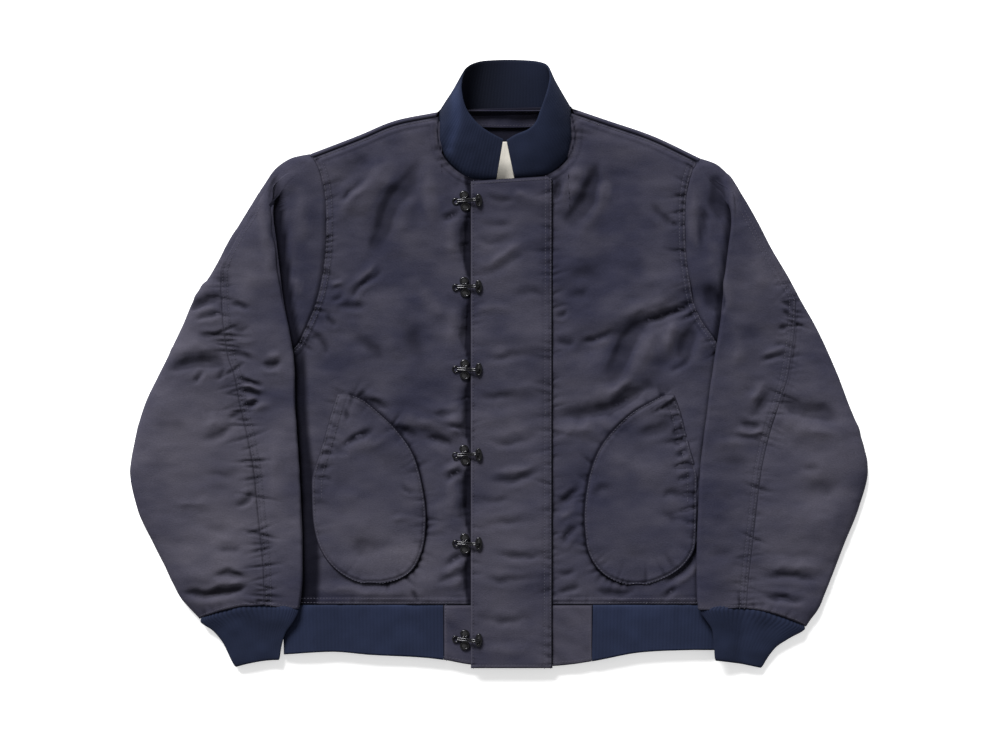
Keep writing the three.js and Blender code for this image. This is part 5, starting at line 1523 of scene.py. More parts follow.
def sleeve(side, settings):
    """A sleeve's front and back panel, from the sections between shoulder and cuff."""
    seed, seam_rise, seam_top, dark_reach = SLEEVE_LOOKS[side]
    sections = [sleeve_section(side, k) for k in range(LAST_ROW + 1)]
    whole = []
    for part, splits in enumerate((FRONT_SPLITS, BACK_SPLITS)):
        coarse = np.array([section[part] for section in sections])
        whole.append(refine_columns(refine(coarse, ROW_SPLITS), splits))
    seam_line = whole[0][::3, -1, :2]
    end_line = np.vstack([whole[0][-1, 60:, :2], whole[1][-1, :50, :2]])
    things, grids = [], []
    for grid, part in zip(whole, ("front", "back")):
        in_front = part == "front"
        normals = grid_normals(grid, -OUT[side])
        x, y = grid[..., 0], grid[..., 1]
        top = smooth(normals[..., 2] * 2.5)
        seam_off, end_off = off_line(seam_line, x, y), off_line(end_line, x, y)
        away = np.minimum(seam_off, end_off)
        if in_front:
            top[:, :TUCK_COLUMNS] *= 0.6
            away = np.minimum(away, np.linalg.norm(grid - grid[:, :1], axis=-1))
        shown = 0.15 + 0.85 * smooth((seam_top - y) / 30)
        fine = settings.fold_depth * crease_relief(CREASES[f"sleeve_{side}"], x, y)
        gathered = [(seam_line, seam_rise * shown, 13, 6), (end_line, 1.3, 12, 9)]
        fine = fine + gathers(x, y, seed, gathered)
        values = fade_rub_highlight_and_shade(x, y, fine * top)
        fine = (fine + crumple(x, y, seed)) * (0.2 + 0.8 * smooth(away / 3))
        groove = 0.3 * shown * grooves(seam_off, SLEEVE_ROWS)
        ridge = 0.3 * shown * bell(seam_off, 5, 2)
        if not in_front:
            groove, ridge = 0.4 * groove, 0
        rolled = np.exp(-end_off / 0.9) + 0.55 * shown * np.exp(-seam_off / 0.9)
        grid = grid + normals * ((fine + ridge - groove - rolled) * top)[..., None]
        # Painted shade at the seams and in the stitch grooves, rubbing with painted highlight
        # beside them
        mark_edges(values, away, 0.75 * np.where(seam_off < end_off, 0.25 * shown, 1))
        add_to(values, "painted_shade_and_tone", 0.5 * groove)
        if in_front:
            grid[:, 0] += [-OUT[side] * 1.2, 0, -0.9]
            grid[:, 1] += [-OUT[side] * 0.5, 0, -0.4]
            # Painted shade on the tuck beside the sleeve's fold over the body
            tuck = smooth((dark_reach - off_line(LAP_LINE[side], x, y)) / 7)
            tuck[:, TUCK_COLUMNS:] = 0
            add_to(values, "painted_shade_and_tone", tuck)
        name = f"sleeve_{side}_{part}"
        thickness = settings.cloth_thickness / MM
        thing = sheet_wall(name + "_cloth", grid, normals, thickness, values, block=(3, 1))
        things.append(finish_piece(thing, name, shell_cloth(settings)))
        grids.append(grid)
    sewn = stitches(
        f"sleeve_{side}", settings, seed,
        *[(grids[0], "last_column", row, 0.12, 1) for row in SLEEVE_ROWS],
        (grids[1], "last_row", 3, 0, 0.55),
        (grids[0], "last_row", 3, 0.45, 1),
    )


def rib_wave(way, pitch):
    """1 on the crown of each rib and 0 between two."""
    return np.sqrt(0.5 + 0.5 * np.cos(2 * np.pi * way / pitch))


def thinned(share, start, loss):
    """1 up to the start, then less toward the end of the share, by the loss there."""
    return 1 - loss * np.clip((share - start) / (1 - start), 0, 1) ** 2


def knit_cloth(settings):
    return knit_material("navy_rib_knit", settings.knit_colour[:])


def cuff(side, settings):
    """A rib cuff, as rings from inside the sleeve's end down to the hand."""
    ribs, per_rib = 60, 6
    columns = ribs * per_rib
    out = OUT[side]
    rings = np.array(CUFFS[side], float)
    rings = np.vstack([rings[0] + [out * 5, 3, -out * 2, 7, 3, -3], rings])
    rows = refine(rings, [4, 6, 6, 6, 6])
    turn = 2 * np.pi * np.arange(columns) / columns
    share = (1 - np.cos(turn)) / 2
    inner_x, inner_y, outer_x, outer_y, arch, thick = (rows[:, n][:, None] for n in range(6))
    x = lerp(inner_x, outer_x, share)
    y = lerp(inner_y, outer_y, share) + 4 * arch * share * (1 - share)
    thick = lerp(8, thick, smooth(share / 0.4))
    lifted = np.sign(np.sin(turn)) * np.abs(np.sin(turn)) ** 0.6
    grid = np.dstack([x, y, over_body_z(side, x, y) + thick / 2 * (1 + lifted)])
    normals = grid_normals(grid, -out, True)
    down = np.linspace(0, 1, len(rows))[:, None]
    rib = np.broadcast_to(rib_wave(np.arange(columns), per_rib), x.shape)
    shown = 1 - 0.8 * smooth(down * 2.4)
    gathered = 0.6 * noise(np.arange(columns) / per_rib, down * 3, 3.2, 7) * (1 - smooth(down * 2))
    puckered = 0.5 * noise(x, y * 1.4, 17, 31)
    lift = (rib - 1) * settings.rib_height / MM * shown
    lift = lift + (gathered + puckered) * smooth(normals[..., 2] * 2)
    whole = settings.knit_thickness / MM
    thickness = whole * thinned(down, 0.94, 0.7) * np.ones_like(x)
    outer = grid + normals * (lift - (whole - thickness) / 2)[..., None]
    # An even darker tone over the whole cuff, carried with the painted shade; painted shade between
    # the ribs toward the top and painted highlight on the puckers' crests
    painted_shade_and_tone = np.full_like(x, 0.22)
    values = {"rib": lerp(0.6, rib, shown), "rub_and_highlight": smooth(puckered) * 0.4, "painted_shade_and_tone": painted_shade_and_tone}
    name = f"cuff_{side}"
    thing = sheet_wall(name + "_knit", outer, normals, thickness, values, ring=True, block=(4, 3))
    finish_piece(thing, name, knit_cloth(settings))


def hem_points(side, x, depth, front):
    """Points of the waistband, from its seam at depth 0 to its lower edge at 1."""
    y = lerp(HEM_Y - SEAM_GAP, hem_edge_y(x), depth)
    drawn = x * (SIDE_X[side](y) / SIDE_X[side](HEM_Y))
    z = front_z(drawn, y) if front else back_z(drawn, y)
    return np.dstack([drawn, y, z])


# How far in from the waistband's side its columns stand, round the fold
ROUND_STEPS = (14, 11, 8, 6, 4, 2.6, 1.6, 0.9, 0.4, 0.1, 0)


def hem_rib(settings):
    """The waistband from one tab round the back to the other, its columns evenly spaced."""
    pitch, per_rib = 4.1, 6
    depth = graded(*SPACINGS["hem_up"])[:, None]
    parts = []
    for side, tab_x in (("right", TAB_RIGHT_X), ("left", TAB_LEFT_X)):
        turn = float(SIDE_X[side](HEM_Y)) - OUT[side] * np.array(ROUND_STEPS)
        first = np.linspace(tab_x, turn[0], int(abs(turn[0] - tab_x) / pitch * per_rib))[:-1]
        front = hem_points(side, np.r_[first, turn], depth, True)
        under = hem_points(side, turn[::-1][1:], depth, False)
        parts.append(np.concatenate([front, under], 1))
    across = np.linspace(parts[0][0, -1, 0], parts[1][0, -1, 0], 30)[1:-1]
    middle = [hem_points("right" if x < 0 else "left", np.array([x]), depth, False) for x in across]
    grid = np.concatenate([parts[0], *middle, parts[1][:, ::-1]], 1)
    way = lengths(grid[0])
    even = way[-1] * graded(way[-1], 1, pitch / per_rib, pitch / per_rib, 6, (False, False))
    grid = np.stack([places_at(row, way, even) for row in grid])
    normals = grid_normals(grid, 1)
    x, y = grid[..., 0], grid[..., 1]
    on_front = smooth(normals[..., 2] * 2)
    rib = np.broadcast_to(rib_wave(even, pitch), x.shape)
    soft = 0.7 * noise(x, y * 0.4, 37, 21) + 0.3 * noise(x, y, 13, 22)
    gathered = 0.7 * noise(x, y * 0.3, 8, 23) * np.exp(-depth * 5)
    rolled = np.exp(-depth * 55 / 1.2)
    lift = (soft + gathered - rolled) * on_front + (rib - 1) * settings.rib_height / MM * 0.28
    grid = grid + normals * lift[..., None]
    thickness = settings.knit_thickness / MM * thinned(depth, 0.93, 0.6) * np.ones_like(x)
    # Painted shade between the ribs and painted highlight on the soft swells
    values = {"rib": 0.5 + 0.22 * rib, "rub_and_highlight": smooth(soft) * 0.5, "painted_shade_and_tone": np.zeros_like(x)}
    rows = grid.shape[0] - 1
    thing = sheet_wall("hem_rib_knit", grid, normals, thickness, values, block=(rows, 6))
    finish_piece(thing, "hem_rib", knit_cloth(settings))


def hem_tab(side, from_x, to_x, settings):
    """One of the waistband's plain cloth ends in front."""
    depth = graded(*SPACINGS["tab_up"])[:, None]
    xs = graded(abs(to_x - from_x), *SPACINGS["tab_up"][1:])
    points = hem_points(side, lerp(from_x, to_x, xs), depth, True)
    x, y = points[..., 0], points[..., 1]
    away = np.minimum(abs(y - HEM_Y), np.minimum(abs(x - from_x), abs(x - to_x)))
    low_edge = (1 - depth) * TAB_DEPTH * np.ones_like(x)
    fine = (0.6 * crumple(x, y, 15) + 0.7 * noise(x + y, y, 15, 17)) * smooth(away / 4)
    points[..., 2] += fine - np.exp(-away / 0.9) - 0.8 * np.exp(-low_edge / 0.8)
    node = f"hem_tab_{side}"
    values = mark_edges(fade_rub_highlight_and_shade(x, y, fine), np.minimum(away, low_edge))
    thing = upper_cloth(
        node, points, settings.cloth_thickness / MM, values, shell_cloth(settings)
    )
    sewn = stitches(node, settings, 5, (points, "first_column", 3), (points, "last_row", 4))


def placket_top(x):
    """The y of the placket's upper edge, its corner cut off at the wearer's left."""
    share = (x - PLACKET_RIGHT) / (PLACKET_LEFT - PLACKET_RIGHT)
    corner = np.maximum(0, x - PLACKET_LEFT + PLACKET_CHAMFER)
    return lerp(PLACKET_TOP_RIGHT, PLACKET_TOP_LEFT, share) - corner


def placket(settings):
    """The storm flap, free at the wearer's right and sewn at the left."""
    s = graded(*SPACINGS["placket_across"])
    t = graded(*SPACINGS["placket_up"])[:, None]
    x = lerp(PLACKET_RIGHT, PLACKET_LEFT, s) * np.ones_like(t)
    y = lerp(PLACKET_BOTTOM, placket_top(x), t)
    free, sewn_edge = (
        np.array([[edge_x, PLACKET_BOTTOM], [edge_x, 212]], float)
        for edge_x in (PLACKET_RIGHT, PLACKET_LEFT)
    )
    from_free, from_sewn = x - PLACKET_RIGHT, PLACKET_LEFT - x
    from_ends = np.minimum(t, 1 - t) * PLACKET_LENGTH
    away = np.minimum(np.minimum(from_free, from_sewn), from_ends)
    fine = settings.fold_depth * crease_relief(CREASES["placket"], x, y)
    fine = fine + 0.6 * crumple(x, y, 140)
    fine = fine + gathers(x, y, 140, [(sewn_edge, 1.2, 14, 8), (free, 0.9, 10, 7)])
    fine *= 0.25 + 0.75 * smooth(away / 4)
    groove = 0.4 * grooves(from_sewn, PLACKET_ROWS)
    groove = groove + 0.3 * (bell(from_free, 3, 1) + bell(from_ends, 4, 1))
    rolled = 1.2 * np.exp(-np.minimum(from_free, from_ends) / 0.8) + 2.6 * np.exp(-from_sewn / 1.1)
    lift = 4.0 + fold_relief(PLACKET_FOLDS, x, y) * 0.8
    grid = np.dstack([x, y, front_z(x, y) + lift + fine - groove - rolled])
    values = mark_edges(fade_rub_highlight_and_shade(x, y, fine), np.minimum(from_sewn, from_ends))
    # Painted highlight along the free edge's fold, with rubbing there; painted shade along the sewn
    # edge and in the stitch grooves
    add_to(values, "rub_and_highlight", 0.9 * bell(from_free, 0, 1.4))
    add_to(values, "painted_shade_and_tone", bell(from_sewn, 0, 1.6) + 0.5 * groove)
    thing = upper_cloth("placket", grid, PLACKET_THICKNESS, values, shell_cloth(settings))
    sewn = stitches(
        "placket", settings, 9,
        *[(grid, "last_column", row) for row in PLACKET_ROWS],
        (grid, "first_column", 3),
        (grid, "last_row", 4),
        (grid, "first_row", 4),
    )


# Seed, and rise of the gathers at the opening
POCKET_LOOKS = {"right": (160, 2.1), "left": (190, 3.2)}


def pocket(side, settings):
    """A patch pocket, open along the upper part of its outer edge."""
    seed, opening_rise = POCKET_LOOKS[side]
    rows = POCKETS[side]
    s = graded(*SPACINGS["pocket_across"])
    t = graded(*SPACINGS["pocket_up"])
    edges = refine(np.array(rows, float), [8] * (len(rows) - 1))
    way = lengths(edges[:, [0, 1]])
    ys, outer, inner = (np.interp(t * way[-1], way, edges[:, n])[:, None] for n in range(3))
    x = lerp(outer, inner, s)
    y = ys * np.ones_like(x)
    inner_line, outer_line = (np.hstack([edge, ys])[::2] for edge in (inner, outer))
    from_inner, from_outer = off_line(inner_line, x, y), off_line(outer_line, x, y)
    from_low = np.abs(y - rows[-1][0])
    away = np.minimum.reduce([from_inner, from_outer, from_low, np.abs(y - rows[0][0])])
    opening_rise = opening_rise * (0.3 + 0.7 * smooth((y + 215) / 40))
    fine = settings.fold_depth * crease_relief(CREASES[f"pocket_{side}"], x, y)
    fine = fine + 0.7 * crumple(x, y, seed)
    gathered = [(inner_line, 1.1, 11, 7), (outer_line, opening_rise, 15, 8)]
    fine = (fine + gathers(x, y, seed, gathered)) * (0.25 + 0.75 * smooth(away / 4))
    groove = 0.35 * (bell(away, 3, 1.1) + bell(from_outer, OPENING_ROW, 1.2) * (y > -140))
    ridge = 0.4 * bell(away, 5.5, 2)
    lift = 2.6 + 0.9 * smooth(away / 8) - 1.5 * np.exp(-away / 0.8)
    grid = np.dstack([x, y, front_z(x, y) + lift + ridge + fine - groove])
    values = mark_edges(fade_rub_highlight_and_shade(x, y, fine), away, 0.7)
    # Painted shade in the stitch grooves and painted shadow along the inner and lower edges
    add_to(values, "painted_shade_and_tone", 0.5 * groove + 0.9 * bell(np.minimum(from_inner, from_low), 0, 1.5))
    node = f"pocket_{side}"
    thing = upper_cloth(node, grid, settings.cloth_thickness / MM, values, shell_cloth(settings))
    sewn = stitches(
        node, settings, seed,
        (grid, "last_column", 3, 0.04, 0.96),
        (grid, "first_column", 3, 0.04, 0.96),
        (grid, "first_column", OPENING_ROW, 0.12, 0.5),
        (grid, "last_row", 3, 0.1, 0.9),
    )


def collar(settings):
    """The standing collar, from its seam round the neck to its top edge."""
    pitch, per_rib = 3.6, 5
    dense = refine(np.array(COLLAR, float), [24] * (len(COLLAR) - 1))
    way = lengths((dense[:, :3] + dense[:, 3:6]) / 2)
    even = np.linspace(0, way[-1], int(way[-1] / pitch) * per_rib + 1)
    places = places_at(dense, way, even)
    seam, edge, bulge = places[:, :3], places[:, 3:6], places[:, 6]
    seam_z = seam[:, 2]
    edge[:, 1] += 3 * smooth((14 - seam_z) / 8)
    t = np.r_[-0.07, graded(*SPACINGS["collar_up"])][:, None]
    grid = lerp(seam[None], edge[None], t[..., None])
    grid[..., 2] += bulge * np.sin(np.pi * np.clip(t, 0, 1)) * 0.6
    front_share = smooth((seam_z - 8) / 8)
    grid[..., 2] -= front_share * (2.6 * np.exp(-np.maximum(t, 0) / 0.05) + 3 * (t < 0))
    normals = grid_normals(grid, 1)
    x, y = grid[..., 0], grid[..., 1]
    rib = np.broadcast_to(rib_wave(even, pitch), x.shape)
    ridge = 2.2 * bell(off_line(spline(COLLAR_RIDGE), x, y), 0, 7)
    soft = 0.8 * noise(x, y, 29, 51) + 0.3 * noise(x, y, 11, 52)
    soft = (soft + ridge) * front_share
    rounded = np.sqrt(np.maximum(thinned(t, 0.95, 1), 0.02)) * np.ones_like(x)
    half = settings.knit_thickness / MM / 2 + (rib - 1) * settings.rib_height / MM * 0.35
    outer = grid + normals * (half * rounded + soft)[..., None]
    inner = grid - normals * (half * rounded - soft)[..., None]
    # Painted shade inside the collar, heavier toward the wearer's right, and over its front except
    # on the soft ridge; painted highlight on its soft swells and painted shade between its ribs
    shaded = (1 - front_share) * (0.45 + 0.5 * smooth((60 - x) / 90)) + 0.3 * front_share
    shaded = shaded * (1 - smooth(ridge / 2.2))
    values = {"rib": 0.66 + 0.22 * rib, "rub_and_highlight": smooth(soft / 2.2), "painted_shade_and_tone": shaded}
    thing = wall("collar_knit", outer, inner, values, block=(1, 1))
    finish_piece(thing, "collar", knit_cloth(settings))


# The facing and the label: x of both ends, y of the lower and the upper edge, sag, height over the
# back, thickness and seed
NECK_FACING = (-60, 74, 278, 292.5, 4, 4.6, 1.2, 201)
LABEL = (-32, 42, 208, 258, 0, 3.0, 0.6, 205)


def inside_sheet(node, sizes, material, **names):
    """A small piece of cloth on the inside of the back."""
    from_x, to_x, low_y, top_y, sag, base, thickness, seed = sizes
    s = graded(to_x - from_x, 6, 1.2, 2, 2)
    t = graded(top_y - low_y, 6, 0.8, 1.6, 2)[:, None]
    x = lerp(from_x, to_x, s) * np.ones_like(t)
    y = lerp(low_y - 4 * sag * s * (1 - s), top_y, t)
    fine = 0.5 * noise(x, y, 14, seed) + 0.4 * noise(x, y * 0.4, 8, seed + 1)
    grid = np.dstack([x, y, back_z(x, y) + base + fine + 0.6])
    values = fade_rub_highlight_and_shade(x, y, fine)
    return upper_cloth(node, grid, thickness, values, material, block=(2, 2), **names), grid


def neck_inside(settings):
    facing, grid = inside_sheet("neck_facing", NECK_FACING, shell_cloth(settings))
    rows = [(grid, "first_row", 2.5), (grid, "last_row", 2.5)]
    sewn = stitches("neck_facing", settings, 3, *rows)
    satin = satin_material("label_satin", settings.label_colour[:])
    label, _ = inside_sheet("label", LABEL, satin, kind="satin", slot="label")


def tube(path, radius, sides=10, closed=False):
    """Points and faces of a wire along a path of evenly spaced points."""
    path = np.asarray(path, float)
    count = len(path)
    if closed:
        way = np.roll(path, -1, 0) - np.roll(path, 1, 0)
    else:
        way = np.gradient(path, axis=0)
    way /= np.linalg.norm(way, axis=1, keepdims=True)
    side = np.cross(way, [0.05, 0.1, 1.0])
    side /= np.linalg.norm(side, axis=1, keepdims=True)
    up = np.cross(side, way)
    radii = np.broadcast_to(radius, count)[:, None]
    turn = 2 * np.pi * np.arange(sides) / sides
    rings = [path + radii * (side * math.cos(a) + up * math.sin(a)) for a in turn]
    points = np.stack(rings, 1).reshape(-1, 3)
    faces = []
    for i in range(count if closed else count - 1):
        a, b = i * sides, (i + 1) % count * sides
        faces += [[a + n, a + (n + 1) % sides, b + (n + 1) % sides, b + n] for n in range(sides)]
    if not closed:
        faces.append(list(range(sides))[::-1])
        faces.append([(count - 1) * sides + n for n in range(sides)])
    return points, faces


def joined(parts):
    points, faces, start = [], [], 0
    for some_points, some_faces in parts:
        points.append(some_points)
        faces += [[n + start for n in face] for face in some_faces]
        start += len(some_points)
    return np.vstack(points), faces


def ring(x, y, across, length, radius):
    """A closed wire ring lying flat."""
    turn = 2 * np.pi * np.arange(36) / 36
    path = [x + across / 2 * np.cos(turn), y + length / 2 * np.sin(turn), 0 * turn]
    return tube(np.stack(path, 1), radius, closed=True)


def place_clasp(name, node, parts, x, y, z, degrees, material):
    points, faces = joined(parts)
    c, s = math.cos(math.radians(degrees)), math.sin(math.radians(degrees))
    turned = points @ np.array([[c, s, 0], [-s, c, 0], [0, 0, 1]]) + [x, y, z]
    thing = new_object(name, turned, faces)
    return finish_piece(thing, node, material)


# Points of a hook's wire from its loop, over the tongue and back
HOOK_WIRE = [
    (-9.5, -1.1, 1.2), (-4, -1.2, 2.2), (2, -1.2, 4), (8, -1.1, 6.9), (12.5, -1, 7.9),
    (15.4, -0.9, 6.6), (16.4, 0, 4.6), (15.4, 0.9, 6.6), (12.5, 1, 7.9), (8, 1.1, 6.9),
    (2, 1.2, 4), (-4, 1.2, 2.2), (-9.5, 1.1, 1.2),
]
HOOK_KEEPER = [(-2, 4, 0.2), (-2.6, 0, 0.9), (-2, -4, 0.2)]
# Rings of wire: x, y, size across and along, radius of the wire
HOOK_RINGS = [(-1, 6.6, 8.2, 7.2, 1.25), (0, -7, 9.4, 8, 1.25), (-11, -0.4, 6.6, 6.6, 0.95)]
EYE_RINGS = [(0, 0, 5.6, 12.6, 1.35)]
# The black thread over them, thick enough to fill each hole as painted shadow: x, y, size across
# and along, number of strands
HOOK_THREAD_AND_SHADOW = [(-1, 6.6, 8.6, 6.6, 5), (0, -7, 9.6, 7.4, 5)]
EYE_THREAD_AND_SHADOW = [(0.4, 0, 5.4, 10, 7)]
BLACK_THREAD_AND_SHADOW = (0.004, 0.004, 0.005)


def bars(x, y, across, length, count):
    """Strands of thread side by side over a ring's hole, filling it as painted shadow."""
    parts = []
    for n in range(count):
        off = (n + 0.5) / count * 2 - 1
        half = across / 2 * math.sqrt(1 - off * off)
        side = y + off * length / 2
        path = spline([(x - half, side, -0.6), (x, side, 0.5), (x + half, side, -0.6)], 4)
        parts.append(tube(path, length / count * 0.62, 6))
    return parts


def clasps(settings):
    metal = metal_material("black_enamelled_wire", settings.metal_colour[:])
    black = thread_material("black_thread", BLACK_THREAD_AND_SHADOW)
    hook_wire = [ring(*sizes) for sizes in HOOK_RINGS]
    hook_wire.append(tube(along(spline(HOOK_WIRE), np.linspace(0, 1, 70)), 1.05))
    hook_wire.append(tube(along(spline(HOOK_KEEPER), np.linspace(0, 1, 9)), 1.2))
    eye_wire = [ring(*sizes) for sizes in EYE_RINGS]
    hook_thread_and_shadow = [strand for sizes in HOOK_THREAD_AND_SHADOW for strand in bars(*sizes)]
    eye_thread_and_shadow = [strand for sizes in EYE_THREAD_AND_SHADOW for strand in bars(*sizes)]
    for number, (y, degrees) in enumerate(CLASPS, 1):
        hook_z = float(front_z(HOOK_X, y)) + 1.6
        eye_z = float(front_z(EYE_X, y)) + 6.2 + float(fold_relief(PLACKET_FOLDS, EYE_X, y))
        for kind, x, z, wire, thread in (
            ("hook", HOOK_X, hook_z, hook_wire, hook_thread_and_shadow),
            ("eye", EYE_X, eye_z, eye_wire, eye_thread_and_shadow),
        ):
            name, place = f"{kind}_{number}", (x, y, z, degrees)
            place_clasp(name + "_wire", name, wire, *place, metal)
            # Black thread over the rings, which also stands in for the shadow in their holes
            place_clasp(name + "_thread", None, thread, *place, black)


def length(name, description, default, low, high):
    return bpy.props.FloatProperty(
        name=name, description=description, default=default, min=low, max=high, unit="LENGTH"
    )


def colour(name, description, default):
    return bpy.props.FloatVectorProperty(
        name=name, description=description, default=default, min=0, max=1, subtype="COLOR"
    )


class DeckJacketSettings(bpy.types.PropertyGroup):
    """Sizes and colours of the jacket."""

    cloth_thickness: length(
        "Cloth thickness", "Thickness of the shell cloth", 0.0014, 0.0005, 0.003
    )
    knit_thickness: length("Knit thickness", "Thickness of the rib knit", 0.0026, 0.001, 0.004)
    grid_step: length(
        "Cloth grid", "Widest gap between the points of the cloth's outer face", 0.002, 0.0018, 0.01
    )
    fold_depth: bpy.props.FloatProperty(
        name="Crease depth", description="Depth of the hand-set creases against their drawn one",
        default=1.3, min=0.0, max=2.0, subtype="FACTOR",
    )
    rib_height: length("Rib height", "Height of the knit's ribs", 0.0006, 0.0, 0.002)
    stitch_pitch: length(
        "Stitch pitch", "Distance from one stitch to the next", 0.0036, 0.002, 0.01
    )
    stitch_length: length(
        "Stitch length", "Length of the thread that shows in each stitch", 0.0027, 0.001, 0.009
    )
    thread_radius: length("Thread radius", "Radius of the sewing thread", 0.00038, 0.0001, 0.001)
    cloth_colour: colour(
        "Dye", "Colour of the shell cloth where its dye has kept", (0.0235, 0.0235, 0.0405)
    )
    # The faded colour is also what the painted highlight on proud places leans toward
    faded_colour: colour(
        "Faded dye", "Colour of the shell cloth where it is rubbed and washed",
        (0.0685, 0.0645, 0.0835),
    )
    # The colour painted in as shade in creases, at seams and in other shaded places
    shade_colour: colour(
        "Painted shade", "Colour of the shell cloth in creases and at seams", (0.003, 0.003, 0.0065)
    )
    knit_colour: colour("Knit", "Colour of the rib knit", (0.0125, 0.0175, 0.040))
    thread_colour: colour("Thread", "Colour of the sewing thread", (0.042, 0.041, 0.062))
    metal_colour: colour("Hooks", "Colour of the hooks' black enamel", (0.013, 0.013, 0.016))
    label_colour: colour("Label", "Colour of the satin label", (0.6, 0.57, 0.51))
    key_strength: bpy.props.FloatProperty(
        name="Key light", description="Strength of the soft light from beyond the collar",
        default=6.2, min=0.0, max=20.0,
    )
    key_angle: bpy.props.FloatProperty(
        name="Key size", description="How wide the key light looks from the jacket",
        default=math.radians(26), min=0.0, max=math.pi, subtype="ANGLE",
    )
    sky_strength: bpy.props.FloatProperty(
        name="Fill", description="Strength of the even light from all round",
        default=0.36, min=0.0, max=5.0,
    )


class DECKJACKET_OT_body(bpy.types.Operator):
    """Build the back and the two fronts"""

    bl_idname = "deck_jacket.body"
    bl_label = "Body"

    def execute(self, context):
        settings = context.scene.deck_jacket
        back_panel(settings)
        for side in SIDES:
            front_panel(side, settings)
        return {"FINISHED"}


class DECKJACKET_OT_sleeves(bpy.types.Operator):
    """Build the two panels of each sleeve"""

    bl_idname = "deck_jacket.sleeves"
    bl_label = "Sleeves"

    def execute(self, context):
        for side in SIDES:
            sleeve(side, context.scene.deck_jacket)
        return {"FINISHED"}


class DECKJACKET_OT_placket(bpy.types.Operator):
    """Build the placket and the cloth tabs of the waistband"""

    bl_idname = "deck_jacket.placket"
    bl_label = "Placket and tabs"

    def execute(self, context):
        settings = context.scene.deck_jacket
        placket(settings)
        hem_tab("right", TAB_RIGHT_X + SEAM_GAP, CENTRE_X - SEAM_GAP / 2, settings)
        hem_tab("left", CENTRE_X + SEAM_GAP / 2, TAB_LEFT_X - SEAM_GAP, settings)
        return {"FINISHED"}


class DECKJACKET_OT_pockets(bpy.types.Operator):
    """Build the two patch pockets"""

    bl_idname = "deck_jacket.pockets"
    bl_label = "Pockets"

    def execute(self, context):
        for side in SIDES:
            pocket(side, context.scene.deck_jacket)
        return {"FINISHED"}


class DECKJACKET_OT_knits(bpy.types.Operator):
    """Build the collar, the cuffs and the waistband's rib"""

    bl_idname = "deck_jacket.knits"
    bl_label = "Collar, cuffs and waistband"

    def execute(self, context):
        settings = context.scene.deck_jacket
        collar(settings)
        hem_rib(settings)
        for side in SIDES:
            cuff(side, settings)
        return {"FINISHED"}


class DECKJACKET_OT_neck(bpy.types.Operator):
    """Build the facing and the label inside the back neck"""

    bl_idname = "deck_jacket.neck"
    bl_label = "Facing and label"

    def execute(self, context):
        neck_inside(context.scene.deck_jacket)
        return {"FINISHED"}


class DECKJACKET_OT_clasps(bpy.types.Operator):
    """Build the six wire hooks and their eyes"""

    bl_idname = "deck_jacket.clasps"
    bl_label = "Hooks and eyes"

    def execute(self, context):
        clasps(context.scene.deck_jacket)
        return {"FINISHED"}


# Where the key light stands, seen from the jacket, and the studio's other values
KEY_FROM = (-0.6, 1.6, 1.1)
WHITE = (1, 1, 1, 1)
FLOOR_COLOUR = (0.93, 0.93, 0.93, 1)
FLOOR_GLOW = 0.46
FLOOR_REACH = 4000
FLOOR_Z = -0.3
CAMERA_HEIGHT = 2.733
LENS = 85
SENSOR_WIDTH = 36


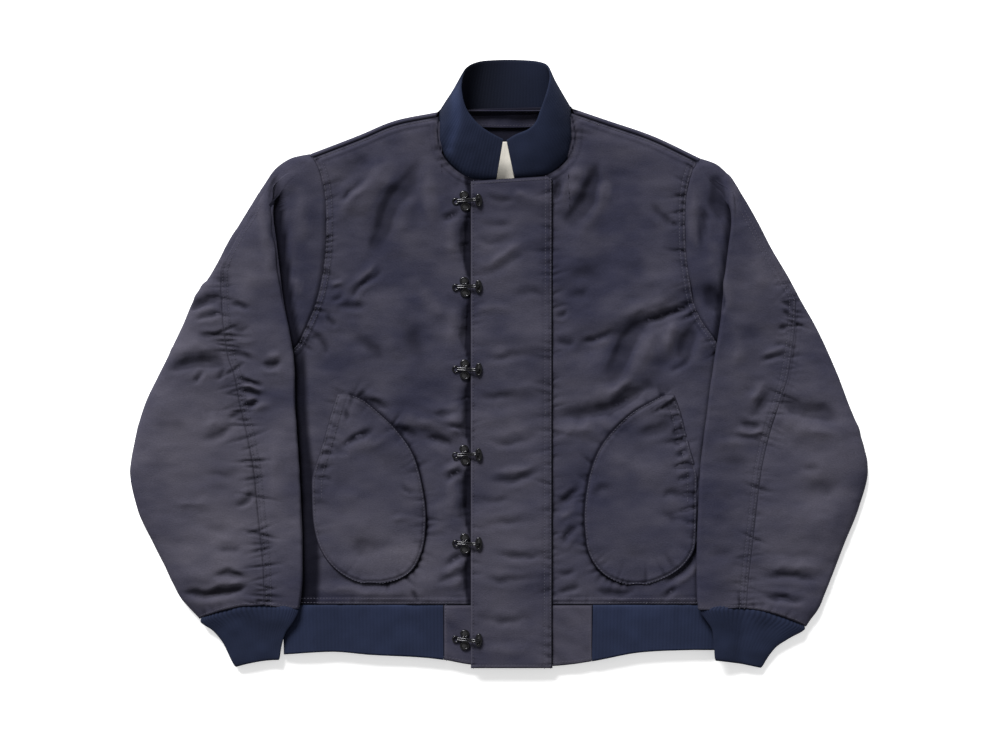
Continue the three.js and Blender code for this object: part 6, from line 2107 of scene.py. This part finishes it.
class DECKJACKET_OT_stage(bpy.types.Operator):
    """Set the pale floor, the soft light and the camera straight above"""

    bl_idname = "deck_jacket.stage"
    bl_label = "Stage"

    def execute(self, context):
        settings = context.scene.deck_jacket
        scene = context.scene
        ways = [(-1, -1), (1, -1), (1, 1), (-1, 1)]
        corners = [(FLOOR_REACH * x, FLOOR_REACH * y, FLOOR_Z) for x, y in ways]
        floor = new_object("floor", corners, [(0, 1, 2, 3)])
        white, _, _ = principled(
            "white_sweep", Base_Color=FLOOR_COLOUR, Roughness=0.9, Emission_Color=WHITE,
            Emission_Strength=FLOOR_GLOW,
        )
        floor.data.materials.append(white)
        world = bpy.data.worlds.new("studio")
        world.use_nodes = True
        background = world.node_tree.nodes["Background"]
        background.inputs["Color"].default_value = WHITE
        background.inputs["Strength"].default_value = settings.sky_strength
        scene.world = world
        key = bpy.data.lights.new("key", "SUN")
        key.energy = settings.key_strength
        key.angle = settings.key_angle
        lamp = bpy.data.objects.new("key", key)
        lamp.location = KEY_FROM
        lamp.rotation_euler = Vector(KEY_FROM).to_track_quat("Z", "Y").to_euler()
        scene.collection.objects.link(lamp)
        view = bpy.data.cameras.new("camera")
        view.lens, view.sensor_width = LENS, SENSOR_WIDTH
        camera = bpy.data.objects.new("camera", view)
        camera.location = (FRAME_SHIFT[0] * MM, FRAME_SHIFT[1] * MM, CAMERA_HEIGHT)
        scene.collection.objects.link(camera)
        scene.camera = camera
        scene.view_settings.view_transform = "Standard"
        return {"FINISHED"}


OPERATORS = (
    DECKJACKET_OT_stage,
    DECKJACKET_OT_body,
    DECKJACKET_OT_sleeves,
    DECKJACKET_OT_placket,
    DECKJACKET_OT_pockets,
    DECKJACKET_OT_knits,
    DECKJACKET_OT_neck,
    DECKJACKET_OT_clasps,
)


class DECKJACKET_PT_panel(bpy.types.Panel):
    """Lists what the add-on builds"""

    bl_idname = "DECKJACKET_PT_panel"
    bl_label = "Deck jacket"
    bl_space_type = "VIEW_3D"
    bl_region_type = "UI"
    bl_category = "Deck jacket"

    def draw(self, context):
        for operator in OPERATORS:
            self.layout.operator(operator.bl_idname)
        for name in DeckJacketSettings.__annotations__:
            self.layout.prop(context.scene.deck_jacket, name)


def register():
    for kind in (DeckJacketSettings, *OPERATORS, DECKJACKET_PT_panel):
        bpy.utils.register_class(kind)
    bpy.types.Scene.deck_jacket = bpy.props.PointerProperty(type=DeckJacketSettings)


def unregister():
    del bpy.types.Scene.deck_jacket
    for kind in reversed((DeckJacketSettings, *OPERATORS, DECKJACKET_PT_panel)):
        bpy.utils.unregister_class(kind)


def main():
    register()
    for operator in OPERATORS:
        group, name = operator.bl_idname.split(".")
        getattr(getattr(bpy.ops, group), name)()


if __name__ == "__main__":
    main()
